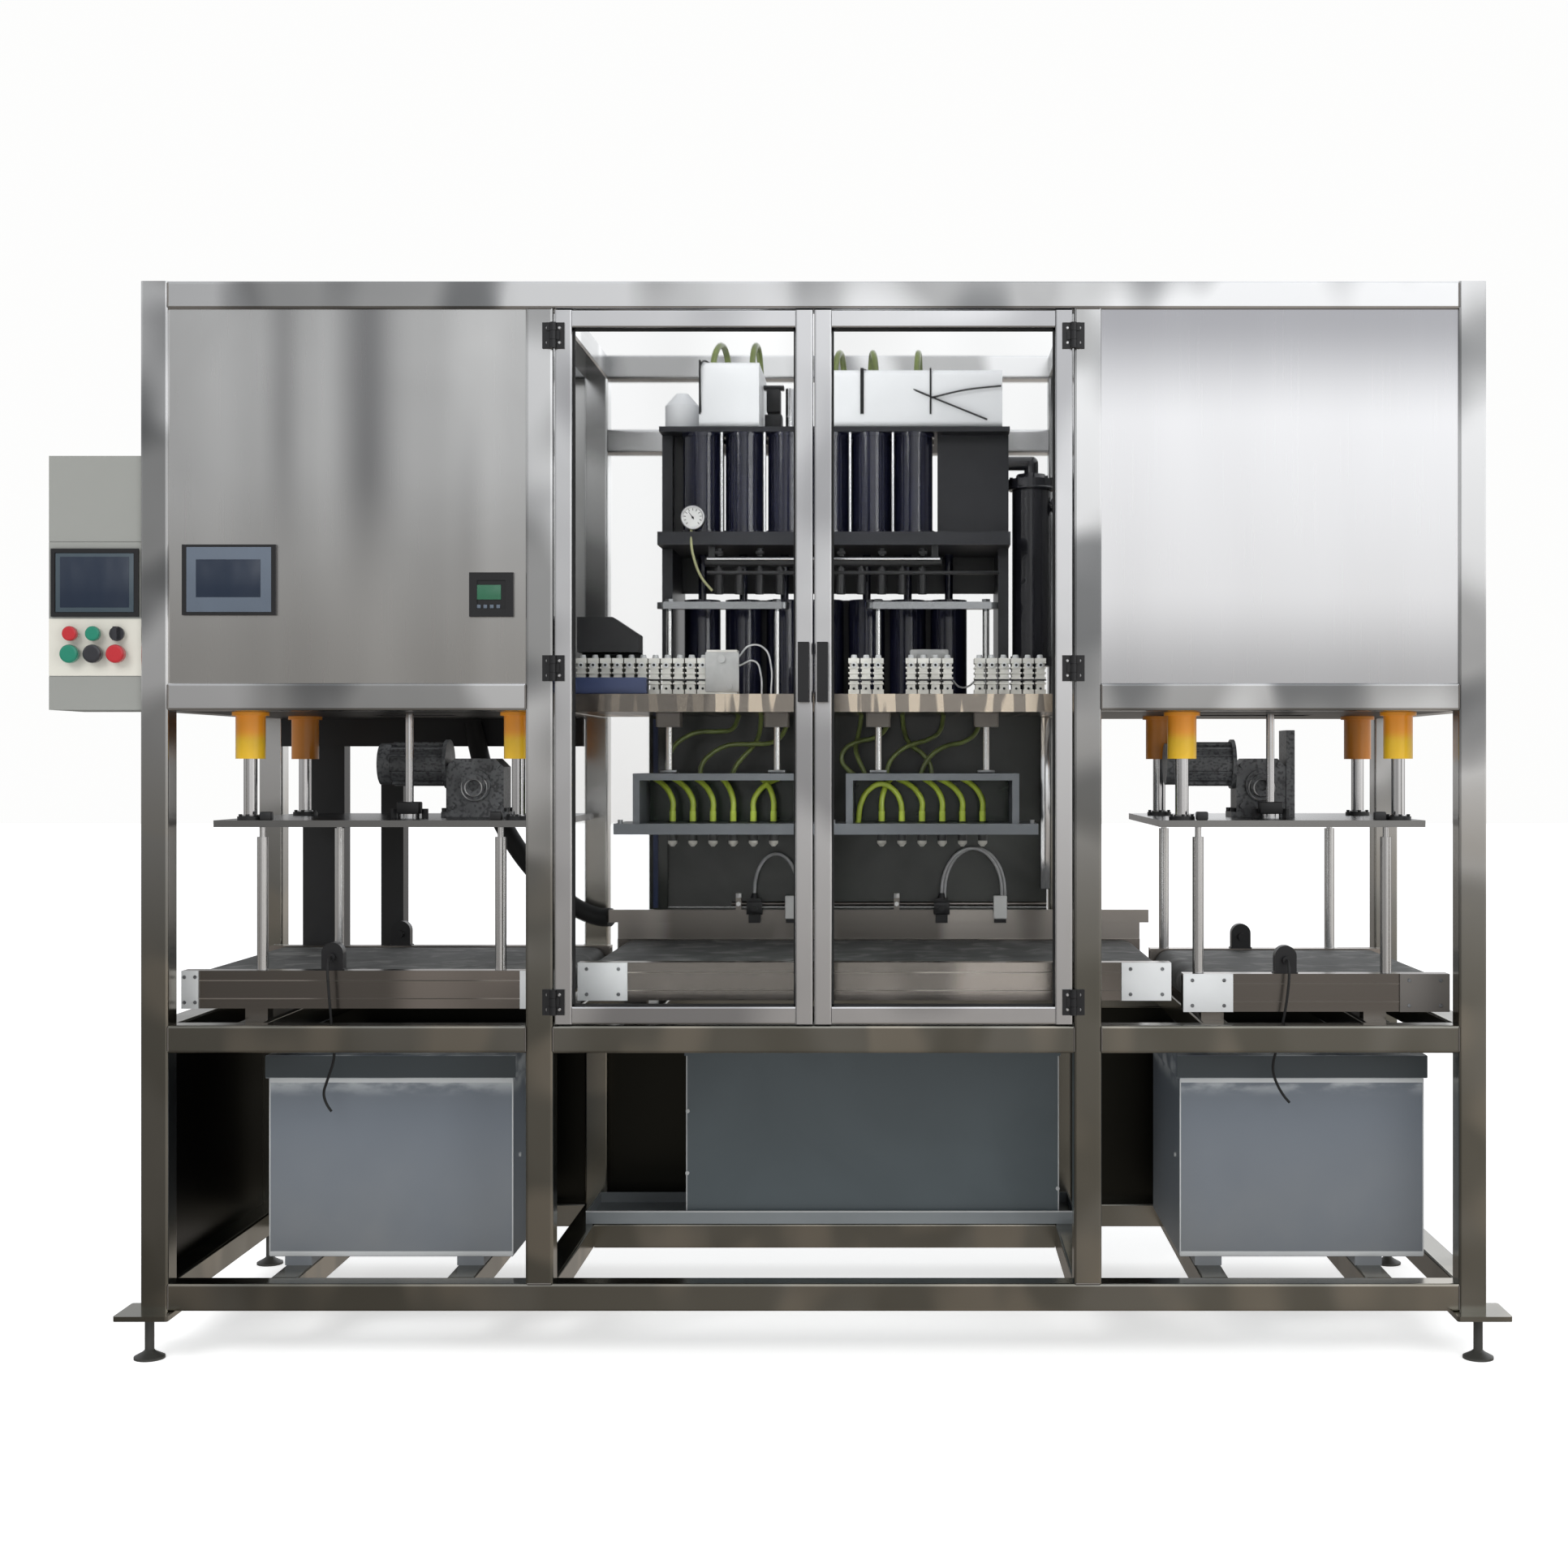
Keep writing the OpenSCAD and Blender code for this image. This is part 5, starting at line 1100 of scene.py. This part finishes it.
class MACHINE_OT_tower(bpy.types.Operator):
    """Gauge, straps, solenoid, tie rods and hose ends of the dosing tower"""

    bl_idname = "machine.tower"
    bl_label = "Dress the dosing tower"

    def execute(self, context):
        self.gauge(at(*GAUGE), Vector((0, -1, 0)))
        with piece("tie_rods", "rod chrome") as bm:
            add_bar(bm, (-268, 383, 1774), (280, 383, 1774), 0.0032)
            for x in range(-235, 270, 101):
                add_stud(bm, x, 404, 1840, 234, 0.004)
            add_stud(bm, -82, 560, 2089, 115, 0.011)
        with piece("straps_and_solenoid", "black plastic") as bm:
            add_block(bm, (-142, 530, 2089), (-100, 580, 2138), 0.003)
            add_block(bm, (-138, 533, 2142), (-104, 577, 2200), 0.004)
            add_block(bm, (-146, 540, 2200), (-96, 570, 2210), 0.002)
            for low, high, top in STRAPS:
                add_block(bm, (low, 417, 2120), (high, 420, top))
                add_block(bm, (low, 417, top), (high, 692, top + 2))
            for x_low, x_high, depth, z_low, z_high in TOWER_BACKS:
                add_block(bm, (x_low, depth, z_low), (x_high, depth + 3, z_high))
            add_block(bm, (-268, 386, 1738), (420, 396, 1746), 0.001)
            for x in range(-240, 241, 96):
                add_stud(bm, x, 398, 1781, 19, 0.009, sides=12)
                add_block(bm, (x - 10, 388, 1786), (x + 10, 408, 1793), 0.001)
        routes = [[(x + lean * share, 480 + back, top + rise) for share, back, rise in HEADER_ARC]
                  for x, lean, top in HEADER_HOSES]
        laid_hose("header_hoses", routes, 0.0075, "hose olive")
        laid_hose("header_wires", HEADER_WIRES, 0.0022, "rubber black")
        laid_hose("gauge_tube", [GAUGE_TUBE], 0.0032, "tube amber")
        return {"FINISHED"}

    def gauge(self, centre, front):
        """Dial with plain ticks and a needle."""
        with piece("gauge_bezel", "bright screw") as bm:
            add_ring(bm, centre + front * 0.001, front, 0.0255, 0.003)
        with piece("gauge_face", "white plastic") as bm:
            add_rod(bm, centre + front * 0.0002, centre + front * 0.0016, 0.0245, sides=32)
        with piece("gauge_marks", "black plastic") as bm:
            ticks = centre + front * 0.002
            for degrees in range(225, -46, -27):
                out = Vector((math.cos(math.radians(degrees)), 0, math.sin(math.radians(degrees))))
                add_rod(bm, ticks + out * 0.0165, ticks + out * 0.0215, 0.0008, sides=6)
            aim = Vector((math.cos(NEEDLE_ANGLE), 0, math.sin(NEEDLE_ANGLE)))
            pivot = centre + front * 0.0026
            add_rod(bm, pivot - aim * 0.005, pivot + aim * 0.017, 0.0011, 0.0004, 6)
            add_rod(bm, centre + front * 0.0016, centre + front * 0.0034, 0.0028, sides=12)


# First valve on X and number of valves of each row on the table
VALVE_ROWS = ((-548, 11), (80, 3), (212, 4), (370, 6))
VALVE_PITCH = 28
TABLE_WIRES = (
    [(-186, 300, 1540), (-160, 300, 1566), (-128, 302, 1560), (-112, 304, 1520), (-112, 306, 1454)],
    [(-186, 310, 1520), (-150, 310, 1530), (-136, 310, 1500), (-134, 312, 1454)],
    [(300, 370, 1500), (332, 350, 1470), (372, 330, 1500), (396, 320, 1538)],
)
FILTER_X, FILTER_DEPTH = 502, 520


class MACHINE_OT_table_top(bpy.types.Operator):
    """Blue duct, valve ports, wires and fittings on the work table"""

    bl_idname = "machine.table_top"
    bl_label = "Dress the work table"

    def execute(self, context):
        boxes("table_duct", "blue sheet", 0.003, ((-563, 238, 1452), (-392, 266, 1490)))
        self.valves()
        with piece("valve_blocks", "block grey") as bm:
            add_block(bm, (-262, 281, 1458), (-184, 286, 1550), 0.003)
            add_knob(bm, -224, 282, 1534, 7, 0.009)
            add_knob(bm, -205, 282, 1470, 5, 0.006)
            add_block(bm, (209, 352, 1452), (300, 398, 1560), 0.004)
            for x in (220, 242, 264, 286):
                add_knob(bm, x, 353, 1546, 5, 0.006)
        laid_hose("table_wires", TABLE_WIRES, 0.0022, "conduit grey")
        self.filter_cap()
        return {"FINISHED"}

    def valves(self):
        """Port and knob of each valve, its marks and the rail under each row."""
        valves = [first + i * VALVE_PITCH for first, count in VALVE_ROWS for i in range(count)]
        with piece("valve_ports", "end plate white") as bm:
            for x in valves:
                add_knob(bm, x, 285, 1520, 4, 0.006, sides=12)
                add_stud(bm, x, 315, 1536, 9, 0.008, 0.006, sides=12)
        with piece("valve_marks", "black plastic") as bm:
            for x in valves:
                add_knob(bm, x, 281.2, 1520, 1, 0.0032, sides=10)
                add_knob(bm, x, 285, 1466, 1.4, 0.003, sides=8)
            for first, count in VALVE_ROWS:
                add_block(bm, (first - 13, 287, 1484), (first + count * VALVE_PITCH - 15, 284.4, 1487))

    def filter_cap(self):
        """Dome, flange with eight bolts and side outlet of the acid filter."""
        with piece("filter_fittings", "filter black") as bm:
            x, depth = FILTER_X, FILTER_DEPTH
            add_stud(bm, x, depth, 1977, 13, 0.040, 0.034, sides=32)
            add_ring(bm, at(x, depth, 1955), (0, 0, 1), 0.0545, 0.004, 40)
            for turn in range(8):
                angle = turn * math.pi / 4
                bolt = (x + 48 * math.cos(angle), depth + 48 * math.sin(angle))
                add_stud(bm, *bolt, 1977, 6, 0.005, sides=6)
            add_bar(bm, (545, depth, 1924), (572, depth, 1900), 0.016, 0.013)


SIDE_TANKS = (-957, 1090)
CENTRE_TANK_EDGES = (-339, 574)
BAY_HOSE = [(-905, 805, 1400), (-880, 805, 1290), (-846, 805, 1180), (-795, 800, 1085), (-726, 795, 1000),
            (-655, 788, 938), (-580, 775, 905), (-546, 760, 905)]


class MACHINE_OT_tanks(bpy.types.Operator):
    """Weld seams, lid fronts and small fittings of the tanks, and the black hose behind the left bay"""

    bl_idname = "machine.tanks"
    bl_label = "Dress the tanks"

    def execute(self, context):
        with piece("tank_seams", "tank seam") as bm:
            for middle in SIDE_TANKS:
                low, high = middle - 273, middle + 273
                add_block(bm, (low, 168.6, 576), (high, 170, 587), 0.0006)
                add_block(bm, (low, 168.8, 186), (high, 170, 197), 0.0006)
                for x in (low, high):
                    add_stud(bm, x, 170, 188, 397, 0.0016, sides=8)
                    add_bar(bm, (x - 4, 250, 400), (x + 4, 250, 400), 0.005, sides=8)
            low, high = CENTRE_TANK_EDGES
            for x in CENTRE_TANK_EDGES:
                add_stud(bm, x, 610, 172, 403, 0.0016, sides=8)
            add_bar(bm, (low, 610, 171), (high, 610, 171), 0.003, sides=8)
            add_bar(bm, (-585, 600, 195), (615, 600, 195), 0.0022, sides=8)
            for x, z in ((-336, 440), (-337, 288), (572, 250)):
                add_bar(bm, (x, 606, z), (x, 610, z), 0.005, sides=8)
        boxes("lid_fronts", "tank lid", 0.0,
              *(((middle - 281, 161.8, 588), (middle + 281, 163.2, 637)) for middle in SIDE_TANKS))
        laid_hose("bay_hose", [BAY_HOSE], 0.024, "rubber black")
        return {"FINISHED"}


# Add-on

OPERATORS = [
    MACHINE_OT_stage, MACHINE_OT_cords, MACHINE_OT_finishes, MACHINE_OT_welds, MACHINE_OT_doors,
    MACHINE_OT_controls, MACHINE_OT_press_stations, MACHINE_OT_conveyors, MACHINE_OT_filling_heads,
    MACHINE_OT_guide_sensors, MACHINE_OT_tower, MACHINE_OT_table_top, MACHINE_OT_tanks,
]
GROUP_SLOTS = {
    "machine_metal": MACHINE_PG_metal,
    "machine_plastic": MACHINE_PG_plastic,
    "machine_view": MACHINE_PG_view,
}


class MACHINE_PT_panel(bpy.types.Panel):
    """Buttons for the stage and for each group of pieces"""

    bl_idname = "MACHINE_PT_panel"
    bl_label = "Filling Machine"
    bl_space_type = "VIEW_3D"
    bl_region_type = "UI"
    bl_category = "Filling Machine"

    def draw(self, context):
        for operator in OPERATORS:
            self.layout.operator(operator.bl_idname)


def register():
    for group in GROUP_SLOTS.values():
        bpy.utils.register_class(group)
    for operator in OPERATORS:
        bpy.utils.register_class(operator)
    bpy.utils.register_class(MACHINE_PT_panel)
    for slot, group in GROUP_SLOTS.items():
        setattr(bpy.types.Scene, slot, PointerProperty(type=group))


def unregister():
    for slot in GROUP_SLOTS:
        delattr(bpy.types.Scene, slot)
    bpy.utils.unregister_class(MACHINE_PT_panel)
    for operator in reversed(OPERATORS):
        bpy.utils.unregister_class(operator)
    for group in reversed(GROUP_SLOTS.values()):
        bpy.utils.unregister_class(group)


def main():
    register()
    for operator in OPERATORS:
        group, name = operator.bl_idname.split(".")
        getattr(getattr(bpy.ops, group), name)()


if __name__ == "__main__":
    main()
